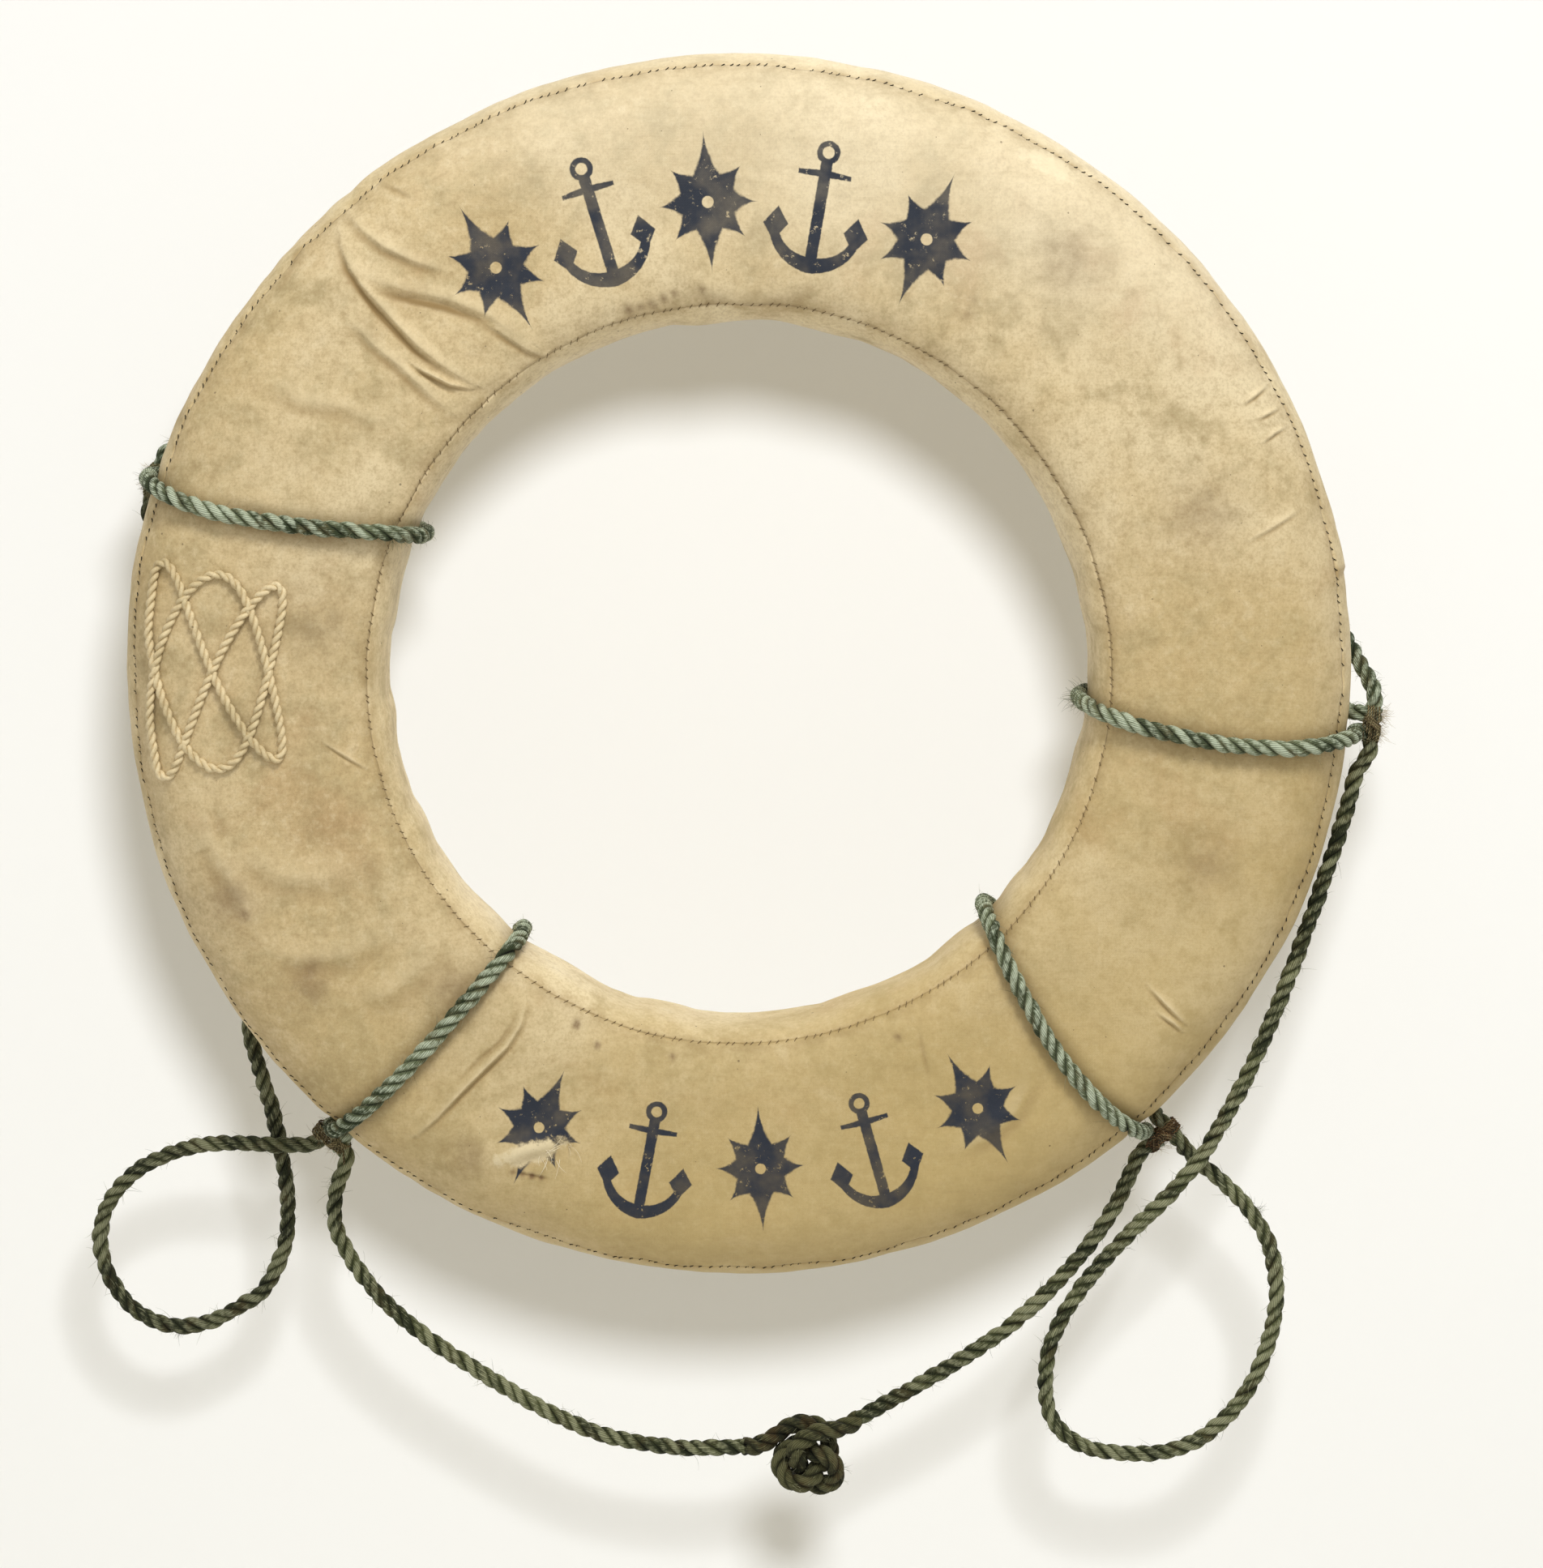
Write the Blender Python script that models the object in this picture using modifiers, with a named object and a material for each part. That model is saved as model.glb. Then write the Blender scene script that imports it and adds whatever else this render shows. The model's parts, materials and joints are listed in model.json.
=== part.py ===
"""Cork life ring with a sewn canvas cover and a hemp grab line, hanging upright.

Metres, +Z up. The ring stands in the XZ plane with its front towards -Y. The world origin is the top of
the hole, where a peg carries the ring. Everything is modelled in the ring's own frame, which hangs on the
empty "ring_centre": X to the right, Y up and Z out of the front, with the ring's axis along Z. Ring angles
are in degrees, anticlockwise from X as seen from the front.
"""

import math

import bmesh
import bpy
from mathutils import Matrix, Vector

# The padded ring: sizes of the finished, covered section
OUTER_DIAMETER = 0.762
HOLE_DIAMETER = 0.438
RING_DEPTH = 0.102
FLAT_WIDTH = 0.056  # the level zone on the front and on the back
OUTER_SHOULDER_POWER = 2.2  # 2 is an elliptical shoulder, more is squarer
INNER_SHOULDER_POWER = 3.2
ROUND_STEPS = 48  # flats round the ring
LEAN_STEP = 23.0  # most that the surface's lean changes from one corner of the section to the next

# Canvas cover: four strips, sewn together along four round seams
CANVAS_THICKNESS = 0.0016
OUTER_SEAM_LEAN = 44.0  # lean of the surface, from the ring's plane to the front, where the seam runs
INNER_SEAM_LEAN = 46.0
SEAM_GAP_LEAN = 0.2

# Cork body: two layers of sector blocks, pinned with treenails
BLOCKS_PER_LAYER = 8
CORK_STEPS_PER_BLOCK = ROUND_STEPS // BLOCKS_PER_LAYER
TREENAIL_DIAMETER = 0.012
TREENAIL_SIDES = 8
TREENAIL_FIT = 0.0003

# Cordage
ROPE_DIAMETER = 0.0105
TWINE_DIAMETER = 0.0015
SEIZING_TURNS = 4
SEIZING_PITCH = 0.00195
SEIZING_POINTS_PER_TURN = 16
TAIL_BEND = 0.006  # centre-line radius where a band's end turns outward
TAIL_BEND_STEPS = 3
TAIL_GAP = 0.0007  # between the two ends, side by side
SPAN_STEPS = 12  # how finely a route's curve is measured, between two of its points
END_ROUNDING = (45.0, 75.0)  # a rounded rope end, as degrees from the side to the tip

# Clearance between pieces that touch
FIT_GAP = 0.0003
TWINE_GAP = 0.0004

# Each band: ring angle at the outer and at the inner edge, how far its front pass bows between them,
# and how far behind the outer edge its ends are seized
BANDS = {
    "upper_left": {"outer": 162.5, "inner": 156.1, "bow": 2.5, "seat": 35.0},
    "right": {"outer": -4.8, "inner": -4.7, "bow": -2.4, "seat": 0.0},
    "lower_left": {"outer": 229.2, "inner": 230.3, "bow": 0.6, "seat": 12.0},
    "lower_right": {"outer": 312.2, "inner": 316.0, "bow": -3.2, "seat": 0.0},
}

# Grab line, behind the rim: ring angle, and the lean of the canvas that the rope lies against
TOP_ROUTE = [
    (156.5, -41), (151.0, -45), (140.0, -46), (120.0, -46), (95.0, -46), (70.0, -46), (45.0, -46),
    (22.0, -46), (10.0, -43), (4.5, -32),
]
LEFT_RIM_ROUTE = [
    (169.0, -43), (175.0, -47), (184.0, -49), (192.0, -49), (199.0, -48), (205.0, -45), (210.2, -39),
    (214.5, -30),
]
LEFT_SPLIT = (216.0, -25)  # where the loop comes out from behind the rim, and begins to swing
# Grab line, hanging free: ring angle, millimetres outside the rim, millimetres in front of the mid-plane.
# Each bight lies where it hangs at rest, straight under the line between its two ends
LEFT_LOOP_ROUTE = [
    (217.2, 8.5, -21), (219.3, 15, -22), (221.9, 24, -26), (224.0, 32, -29), (226.3, 44, -31),
    (228.3, 56, -33), (230.4, 72, -34), (232.0, 92, -34), (232.6, 109, -34), (232.8, 127, -34),
    (232.1, 144, -34), (231.1, 164, -34), (229.5, 179, -34), (227.2, 187, -34), (224.6, 184, -34),
    (222.1, 171, -34), (220.6, 151, -33), (220.1, 125, -31), (220.6, 100, -28), (222.1, 74, -23),
    (224.4, 53, -18), (226.6, 38, -15.5),
]
BOTTOM_LEFT_ROUTE = [
    (232.2, 34, -15), (233.0, 46, -14), (234.3, 58, -13), (236.6, 69, -13), (239.9, 80, -13),
    (244.6, 90, -12), (249.7, 98, -11), (255.2, 109, -10), (260.0, 117, -9), (265.4, 119, -8),
]
BOTTOM_RIGHT_ROUTE = [
    (284.0, 90, -5), (288.3, 80, -4), (293.2, 69, -3), (297.9, 56, -2), (302.3, 43, -1), (305.7, 31, 0),
]
RIGHT_ROUTE = [
    (350.5, 11, 0), (346.2, 9.5, 0), (339.9, 9, 0), (333.7, 12.5, 0), (327.7, 19, 1), (322.4, 27, 3),
    (317.0, 36, 5), (312.9, 43, 7), (308.7, 48, 6), (304.6, 53, 3), (299.6, 65, 1), (295.5, 85, 0),
    (293.3, 110, 0), (292.6, 135, 0), (293.6, 158, 0), (296.7, 179, 0), (300.1, 190, 0),
    (304.1, 184, 0), (307.5, 167, 0), (310.5, 143, 0), (312.7, 112, -1), (313.3, 80, -4),
    (313.0, 52, -7), (312.8, 36, -5),
]

# The joining knot: an overhand knot whose three lobes lie round its place in the bottom stretch
KNOT_PLACE = (275.1, 128, -7)
KNOT_MID_RADIUS = 0.0130
KNOT_LOBE = 0.0062
KNOT_HALF_HEIGHT = 0.0064
KNOT_CUT = 50.0  # degrees of the top lobe left off on each side, where the rope's two ends cross instead
KNOT_TURN = 74.0  # where that lobe points
KNOT_STEPS = 26
# How the rope comes in from the left and goes out to the right: millimetres right of, above and in
# front of the knot's middle
KNOT_WAY_IN = [(-42, 9, -1), (-34, 9, -3), (-25, 13, -5), (-16, 19.5, -6), (-6, 23, -6.2), (5, 21, -6.6)]
KNOT_WAY_OUT = [(5, 20.5, 6.6), (14, 21.5, 5), (24, 24, 2), (31, 27.5, 0)]

# Values worked out from the sizes above
OUTER_RADIUS = OUTER_DIAMETER / 2
HOLE_RADIUS = HOLE_DIAMETER / 2
MID_RADIUS = (OUTER_RADIUS + HOLE_RADIUS) / 2
HALF_DEPTH = RING_DEPTH / 2
SHOULDER = (OUTER_RADIUS - HOLE_RADIUS - FLAT_WIDTH) / 2
CORK_INSET = CANVAS_THICKNESS + FIT_GAP
ROPE_RADIUS = ROPE_DIAMETER / 2
ROPE_STAND_OFF = ROPE_RADIUS + FIT_GAP
FLAT_SHARE = math.cos(math.pi / ROUND_STEPS)  # in the hole, the middle of a flat lies this much nearer
TAIL_SPACING = ROPE_DIAMETER + TAIL_GAP
SEIZING_LENGTH = SEIZING_TURNS * SEIZING_PITCH
TAIL_LENGTH = SEIZING_LENGTH + TWINE_DIAMETER  # the straight end, which the seizing covers
TAIL_END = ROPE_STAND_OFF + TAIL_BEND + TAIL_LENGTH
TAIL_LEAD = TAIL_BEND + ROPE_RADIUS / 2  # the section's corners that the rope follows lie past this
SEIZING_START = TAIL_END - SEIZING_LENGTH - TWINE_DIAMETER / 2
LOOP_SPACING = 2.2 * ROPE_DIAMETER  # between a rope's points where it hangs in curves
RIM_SPACING = 2.9 * ROPE_DIAMETER  # and where it follows the rim
RIM_SAG = OUTER_RADIUS * (1 - math.cos(RIM_SPACING / 2 / OUTER_RADIUS))  # how far a straight run cuts inside
KNOT_LEAD = 2 * ROPE_DIAMETER  # straight rope on both sides of the knot
KNOT_SPACING = 0.62 * ROPE_DIAMETER


def clear_scene():
    for obj in list(bpy.data.objects):
        bpy.data.objects.remove(obj, do_unlink=True)


def make_material(name, colour, roughness):
    material = bpy.data.materials.new(name)
    material.use_nodes = True
    shader = material.node_tree.nodes["Principled BSDF"]
    shader.inputs["Base Color"].default_value = (*colour, 1.0)
    shader.inputs["Roughness"].default_value = roughness
    shader.inputs["Metallic"].default_value = 0.0
    material.diffuse_color = (*colour, 1.0)
    return material


def make_collection(name):
    collection = bpy.data.collections.new(name)
    bpy.context.scene.collection.children.link(collection)
    return collection


def add_empty(name, parent, place, size=0.05):
    empty = bpy.data.objects.new(name, None)
    empty.empty_display_size = size
    empty.parent = parent
    empty.location = place
    parts.objects.link(empty)
    return empty


def add_object(name, data, material, parent, collection=None):
    obj = bpy.data.objects.new(name, data)
    obj.parent = parent
    if material is not None:
        data.materials.append(material)
    (collection or parts).objects.link(obj)
    return obj


def spread(start, end, step=LEAN_STEP):
    """Even values from start to end, no further apart than step."""
    count = math.ceil(abs(end - start) / step - 1e-6)
    return [start + (end - start) * i / count for i in range(count + 1)]


def section_point(side, lean, stand_off=0.0):
    """Distance from the axis and height in front of the mid-plane, on the outer (side 1) or inner (side -1)
    shoulder of the section, where the surface's normal leans this many degrees to the front."""
    turn = math.radians(abs(lean))
    power = OUTER_SHOULDER_POWER if side > 0 else INNER_SHOULDER_POWER
    if abs(lean) == 90:
        across, forward = 0.0, 1.0
    else:
        ratio = (math.tan(turn) * HALF_DEPTH / SHOULDER) ** (1 / (power - 1))
        across = (1 + ratio**power) ** (-1 / power)
        forward = ratio * across
    width = FLAT_WIDTH / 2 + SHOULDER * across + stand_off * math.cos(turn)
    height = HALF_DEPTH * forward + stand_off * math.sin(turn)
    return MID_RADIUS + side * width, math.copysign(height, lean)


def polar(angle, radius, height):
    turn = math.radians(angle)
    return Vector((radius * math.cos(turn), radius * math.sin(turn), height))


def cover_leans(seam):
    """The leans at which the covers' section has its corners, from the front's middle to the mid-plane."""
    return spread(90, seam) + spread(seam, 0)[1:]


def against_canvas(angle, lean):
    """Centre of a rope that lies against the outer shoulder."""
    return polar(angle, *section_point(1, lean, ROPE_STAND_OFF + RIM_SAG))


def beyond_rim(angle, outside_mm, front_mm):
    return polar(angle, OUTER_RADIUS + outside_mm / 1000, front_mm / 1000)


def smooth_path(points, spacing):
    """Even points on a smooth curve through the given ones (centripetal Catmull-Rom)."""
    ends = [2 * points[0] - points[1], *points, 2 * points[-1] - points[-2]]
    fine = []
    for a, b, c, d in zip(ends, ends[1:], ends[2:], ends[3:]):
        ta, tb = 0.0, (b - a).length ** 0.5
        tc = tb + (c - b).length ** 0.5
        td = tc + (d - c).length ** 0.5
        for i in range(SPAN_STEPS):
            t = tb + (tc - tb) * i / SPAN_STEPS
            ab = a.lerp(b, (t - ta) / (tb - ta))
            bc = b.lerp(c, (t - tb) / (tc - tb))
            cd = c.lerp(d, (t - tc) / (td - tc))
            abc = ab.lerp(bc, (t - ta) / (tc - ta))
            bcd = bc.lerp(cd, (t - tb) / (td - tb))
            fine.append(abc.lerp(bcd, (t - tb) / (tc - tb)))
    fine.append(points[-1].copy())
    reach = [0.0]
    for a, b in zip(fine, fine[1:]):
        reach.append(reach[-1] + (b - a).length)
    count = max(2, round(reach[-1] / spacing))
    even, k = [], 0
    for i in range(count + 1):
        wanted = reach[-1] * i / count
        while k < len(fine) - 2 and reach[k + 1] < wanted:
            k += 1
        share = (wanted - reach[k]) / (reach[k + 1] - reach[k])
        even.append(fine[k].lerp(fine[k + 1], share))
    return even


def path_length(points):
    return sum((b - a).length for a, b in zip(points, points[1:]))


def least_gap(points, diameter, apart):
    """Smallest free space between two turns of one tube, at least `apart` of its length from each other."""
    reach = [0.0]
    for a, b in zip(points, points[1:]):
        reach.append(reach[-1] + (b - a).length)
    least = math.inf
    for i, a in enumerate(points):
        for j in range(i + 1, len(points)):
            if reach[j] - reach[i] > apart:
                least = min(least, (points[j] - a).length - diameter)
    return least


def add_tube(name, points, diameter, material, parent, sides_level=2, round_ends=(False, False)):
    """A rope or twine along these points, with each end cut square or rounded like a whipped end."""
    origin = parent_place(parent)
    sized = [(point, 1.0) for point in points]
    radius = diameter / 2
    for turn in (math.radians(angle) for angle in END_ROUNDING):
        if round_ends[0]:
            out = (points[0] - points[1]).normalized() * radius
            sized.insert(0, (points[0] + out * math.sin(turn), math.cos(turn)))
        if round_ends[1]:
            out = (points[-1] - points[-2]).normalized() * radius
            sized.append((points[-1] + out * math.sin(turn), math.cos(turn)))
    curve = bpy.data.curves.new(name, "CURVE")
    curve.dimensions = "3D"
    curve.bevel_depth = radius
    curve.bevel_resolution = sides_level
    curve.use_fill_caps = True
    spline = curve.splines.new("POLY")
    spline.points.add(len(sized) - 1)
    for target, (place, scale) in zip(spline.points, sized):
        target.co = (*(place - origin), 1.0)
        target.radius = scale
    spline.use_smooth = True
    return add_object(name, curve, material, parent)


def parent_place(parent):
    """Where a hinge empty sits in the ring's frame."""
    return Vector((0, 0, 0)) if parent is ring else Vector(parent.location)


def add_cover(name, places):
    """One strip of canvas, turned round the ring's axis. Its edges are mitred along the section's normals."""
    outline = [section_point(side, lean) for side, lean in places]
    outline += [section_point(side, lean, -CANVAS_THICKNESS) for side, lean in reversed(places)]
    count = len(outline)
    mesh = bpy.data.meshes.new(name)
    corners = [(radius, 0.0, height) for radius, height in outline]
    mesh.from_pydata(corners, [(i, (i + 1) % count) for i in range(count)], [])
    obj = add_object(name, mesh, canvas, ring)
    turn = obj.modifiers.new("turned", "SCREW")
    turn.axis = "Z"
    turn.steps = ROUND_STEPS
    turn.render_steps = ROUND_STEPS
    turn.use_merge_vertices = True
    turn.merge_threshold = 0.00001
    turn.use_smooth_shade = True
    return obj


def add_covers():
    outer, inner = OUTER_SEAM_LEAN + SEAM_GAP_LEAN, INNER_SEAM_LEAN + SEAM_GAP_LEAN
    front = [(-1, lean) for lean in spread(inner, 90)] + [(1, lean) for lean in spread(90, outer)]
    add_cover("cover_front", front)
    add_cover("cover_back", [(side, -lean) for side, lean in reversed(front)])
    outer, inner = OUTER_SEAM_LEAN - SEAM_GAP_LEAN, INNER_SEAM_LEAN - SEAM_GAP_LEAN
    add_cover("cover_outer_band", [(1, lean) for lean in spread(outer, -outer)])
    add_cover("cover_inner_band", [(-1, lean) for lean in spread(-inner, inner)])


def add_treenail(name, angle, radius, half_length, material, collection=None):
    place = Matrix.Translation(polar(angle, MID_RADIUS, 0.0))
    turn = Matrix.Rotation(math.radians(angle), 4, "Z")
    mesh = bpy.data.meshes.new(name)
    shape = bmesh.new()
    bmesh.ops.create_cone(
        shape,
        cap_ends=True,
        segments=TREENAIL_SIDES,
        radius1=radius,
        radius2=radius,
        depth=2 * half_length,
        matrix=place @ turn,
    )
    shape.to_mesh(mesh)
    shape.free()
    return add_object(name, mesh, material, ring, collection)


def add_cork_block(name, start, front, cutters):
    """A sector of one cork layer: half of the section, rasped round, spun about the ring's axis."""
    half_gap = FIT_GAP / 2
    outline = [section_point(1, lean, -CORK_INSET) for lean in reversed(cover_leans(OUTER_SEAM_LEAN))]
    outline += [section_point(-1, lean, -CORK_INSET) for lean in cover_leans(INNER_SEAM_LEAN)]
    outline = [(radius, max(height, half_gap)) for radius, height in outline]
    gap_angle = math.degrees(half_gap / HOLE_RADIUS)
    sweep = 360.0 / BLOCKS_PER_LAYER - 2 * gap_angle
    flip = 1 if front else -1
    shape = bmesh.new()
    rim = [shape.verts.new(polar(start + gap_angle, radius, flip * height)) for radius, height in outline]
    profile = shape.faces.new(rim)
    bmesh.ops.spin(
        shape,
        geom=[profile, *profile.edges, *profile.verts],
        cent=(0, 0, 0),
        axis=(0, 0, 1),
        angle=math.radians(sweep),
        steps=CORK_STEPS_PER_BLOCK,
        use_duplicate=False,
    )
    bmesh.ops.recalc_face_normals(shape, faces=shape.faces)
    mesh = bpy.data.meshes.new(name)
    shape.to_mesh(mesh)
    shape.free()
    block = add_object(name, mesh, cork, ring)
    for i, cutter in enumerate(cutters):
        hole = block.modifiers.new(f"treenail_hole_{i + 1}", "BOOLEAN")
        hole.operation = "DIFFERENCE"
        hole.solver = "EXACT"
        hole.object = cutter
    return block


def add_cork_body():
    pitch = 180.0 / BLOCKS_PER_LAYER
    angles = [pitch / 2 + pitch * i for i in range(2 * BLOCKS_PER_LAYER)]
    half_length = HALF_DEPTH - CORK_INSET
    cutters = []
    for i, angle in enumerate(angles):
        add_treenail(f"treenail_{i + 1:02}", angle, TREENAIL_DIAMETER / 2, half_length - FIT_GAP, hardwood)
        hole_radius = TREENAIL_DIAMETER / 2 + TREENAIL_FIT
        cutter = add_treenail(f"treenail_cutter_{i + 1:02}", angle, hole_radius, RING_DEPTH, None, helpers)
        cutter.hide_render = True
        cutter.display_type = "WIRE"
        cutters.append(cutter)
    for i in range(BLOCKS_PER_LAYER):
        # The joints of the back layer lie over the middles of the front layer's blocks
        add_cork_block(f"cork_front_{i + 1}", 2 * pitch * i, True, cutters[2 * i : 2 * i + 2])
        back_cutters = [cutters[2 * i + 1], cutters[(2 * i + 2) % len(cutters)]]
        add_cork_block(f"cork_back_{i + 1}", 2 * pitch * i + pitch, False, back_cutters)


def seat_point(band, outward, forward, along):
    """A point at a band's seizing: distance out of the canvas, towards the front along the section, and
    anticlockwise along the rim."""
    lean = math.radians(-band["seat"])
    radius, height = section_point(1, -band["seat"])
    radius += outward * math.cos(lean) - forward * math.sin(lean)
    height += outward * math.sin(lean) + forward * math.cos(lean)
    turn = math.radians(band["outer"])
    return polar(band["outer"], radius, height) + along * Vector((-math.sin(turn), math.cos(turn), 0))


def tail(band, side):
    """The end of a band from its tip to the canvas: side 1 comes from the front, -1 from the back."""
    along = -side * TAIL_SPACING / 2
    points = [seat_point(band, TAIL_END, 0, along), seat_point(band, TAIL_END - TAIL_LENGTH, 0, along)]
    for turn in (math.radians(90 * i / TAIL_BEND_STEPS) for i in range(1, TAIL_BEND_STEPS)):
        outward = ROPE_STAND_OFF + TAIL_BEND * (1 - math.sin(turn))
        points.append(seat_point(band, outward, side * TAIL_BEND * (1 - math.cos(turn)), along))
    points.append(seat_point(band, ROPE_STAND_OFF, side * TAIL_BEND, along))
    return points


def ahead_of_seat(band, lean):
    """How far towards the front, along the section, a corner of the outer shoulder lies from a seizing."""
    seat = -band["seat"]
    seat_radius, seat_height = section_point(1, seat)
    radius, height = section_point(1, lean)
    turn = math.radians(seat)
    return (height - seat_height) * math.cos(turn) - (radius - seat_radius) * math.sin(turn)


def band_path(band):
    """Once round the section: front tail, front pass, inner edge, back pass, back tail."""
    outer, inner = cover_leans(OUTER_SEAM_LEAN), cover_leans(INNER_SEAM_LEAN)
    outer = outer + [-lean for lean in reversed(outer[:-1])]
    inner = inner + [-lean for lean in reversed(inner[:-1])]
    turn = [(1, lean) for lean in reversed(outer) if ahead_of_seat(band, lean) > TAIL_LEAD] + [(0, 90)]
    turn += [(-1, lean) for lean in inner] + [(0, -90)]
    turn += [(1, lean) for lean in reversed(outer) if ahead_of_seat(band, lean) < -TAIL_LEAD]
    reach = OUTER_RADIUS + ROPE_STAND_OFF
    width = reach - (HOLE_RADIUS * FLAT_SHARE - ROPE_STAND_OFF)
    points = []
    for i, (side, lean) in enumerate(turn):
        radius, height = section_point(side, lean, ROPE_STAND_OFF)
        radius *= FLAT_SHARE if side < 0 else 1
        across = (reach - radius) / width
        angle = band["outer"] + (band["inner"] - band["outer"]) * across
        if height > 0:
            angle += band["bow"] * 4 * across * (1 - across)
        shift = (2 * i / (len(turn) - 1) - 1) * TAIL_SPACING / 2
        points.append(polar(angle + math.degrees(shift / radius), radius, height))
    return tail(band, 1) + points + list(reversed(tail(band, -1)))


def seizing_path(band):
    """Twine turns laid tightly round the two ends of a band, working outward."""
    round_radius = ROPE_RADIUS + TWINE_GAP + TWINE_DIAMETER / 2
    half_width = TAIL_SPACING / 2
    straight, arc = 2 * half_width, math.pi * round_radius
    whole = 2 * straight + 2 * arc
    points = []
    count = SEIZING_TURNS * SEIZING_POINTS_PER_TURN
    for i in range(count + 1):
        turns = i / SEIZING_POINTS_PER_TURN
        left = (turns % 1.0) * whole
        if left < straight:
            along, forward = left - half_width, round_radius
        elif left < straight + arc:
            swing = (left - straight) / round_radius
            along, forward = half_width + round_radius * math.sin(swing), round_radius * math.cos(swing)
        elif left < 2 * straight + arc:
            along, forward = half_width - (left - straight - arc), -round_radius
        else:
            swing = (left - 2 * straight - arc) / round_radius
            along, forward = -half_width - round_radius * math.sin(swing), -round_radius * math.cos(swing)
        points.append(seat_point(band, SEIZING_START + turns * SEIZING_PITCH, forward, along))
    return points


def side_tip(band, side):
    """Centre of a rounded rope end that lies beside a seizing, clockwise (-1) or anticlockwise (1)."""
    reach = TAIL_SPACING / 2 + ROPE_RADIUS + TWINE_GAP + TWINE_DIAMETER + FIT_GAP + ROPE_RADIUS
    return seat_point(band, SEIZING_START + SEIZING_LENGTH / 2, 0, side * reach)


def end_tip(band, side):
    """Centre of a rounded rope end that meets a band's own end."""
    return seat_point(band, TAIL_END + FIT_GAP + ROPE_RADIUS, 0, side * TAIL_SPACING / 2)


def knot_path():
    """An overhand knot: a trefoil winding, led in from the left and out to the right."""
    centre = beyond_rim(*KNOT_PLACE)
    places = [Vector(place) / 1000 for place in KNOT_WAY_IN]
    for i in range(KNOT_STEPS + 1):
        phase = math.radians(720 - KNOT_CUT + (2 * KNOT_CUT - 720) * i / KNOT_STEPS)
        radius = KNOT_MID_RADIUS + KNOT_LOBE * math.cos(1.5 * phase)
        turn = math.radians(KNOT_TURN) + phase
        height = KNOT_HALF_HEIGHT * math.sin(1.5 * phase)
        places.append(Vector((radius * math.cos(turn), radius * math.sin(turn), height)))
    places += [Vector(place) / 1000 for place in KNOT_WAY_OUT]
    return [centre + place for place in smooth_path(places, KNOT_SPACING)]


def add_bands():
    for name, band in BANDS.items():
        add_tube(f"band_{name}", band_path(band), ROPE_DIAMETER, faded_rope, ring)
        winding = seizing_path(band)
        add_tube(f"seizing_{name}", winding, TWINE_DIAMETER, twine, ring, sides_level=1)
        gap = least_gap(winding, TWINE_DIAMETER, 6 * TWINE_DIAMETER)
        print(f"seizing_{name}: least gap between turns {1000 * gap:.2f} mm")


def add_stretch(name, points, parent, round_ends):
    add_tube(name, points, ROPE_DIAMETER, rope, parent, round_ends=round_ends)
    print(f"{name}: {path_length(points):.3f} m of rope")


def add_grab_line():
    upper_left, right = BANDS["upper_left"], BANDS["right"]
    lower_left, lower_right = BANDS["lower_left"], BANDS["lower_right"]
    both = (True, True)

    top = [side_tip(upper_left, -1), *(against_canvas(*place) for place in TOP_ROUTE), side_tip(right, 1)]
    add_stretch("grab_line_top", smooth_path(top, RIM_SPACING), ring, both)

    left = [side_tip(upper_left, 1), *(against_canvas(*place) for place in LEFT_RIM_ROUTE)]
    left += [*(beyond_rim(*place) for place in LEFT_LOOP_ROUTE), end_tip(lower_left, -1)]
    left = smooth_path(left, LOOP_SPACING)
    split = against_canvas(*LEFT_SPLIT)
    cut = min(range(len(left)), key=lambda i: (left[i] - split).length)
    onward = (left[cut + 1] - left[cut]).normalized()
    add_stretch("grab_line_left_run", left[: cut + 1], ring, both)
    left = [left[cut] + onward * (ROPE_DIAMETER + FIT_GAP), *left[cut + 1 :]]
    hinge = add_empty("left_bight_hinge", ring, left[0])
    add_stretch("grab_line_left_loop", left, hinge, both)

    loop = [side_tip(right, -1), *(beyond_rim(*place) for place in RIGHT_ROUTE), end_tip(lower_right, 1)]
    hinge = add_empty("right_bight_hinge", ring, loop[0])
    add_stretch("grab_line_right", smooth_path(loop, LOOP_SPACING), hinge, both)

    knot = knot_path()
    gap = least_gap(knot, ROPE_DIAMETER, 3 * ROPE_DIAMETER)
    print(f"joining_knot: {path_length(knot):.3f} m of rope, least gap to itself {1000 * gap:.2f} mm")
    lead_in, lead_out = (knot[1] - knot[0]).normalized(), (knot[-1] - knot[-2]).normalized()
    start, end = side_tip(lower_left, 1), side_tip(lower_right, -1)
    left_half = [start, *(beyond_rim(*place) for place in BOTTOM_LEFT_ROUTE), knot[0] - lead_in * KNOT_LEAD]
    left_half = [*smooth_path(left_half, LOOP_SPACING), knot[0] - lead_in * FIT_GAP]
    right_half = [knot[-1] + lead_out * KNOT_LEAD, *(beyond_rim(*place) for place in BOTTOM_RIGHT_ROUTE), end]
    right_half = [knot[-1] + lead_out * FIT_GAP, *smooth_path(right_half, LOOP_SPACING)]
    hinge = add_empty("bottom_bight_hinge", ring, start)
    add_stretch("grab_line_bottom_left", left_half, hinge, (True, False))
    add_tube("joining_knot", knot, ROPE_DIAMETER, rope, hinge)
    add_stretch("grab_line_bottom_right", right_half, hinge, (False, True))


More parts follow.
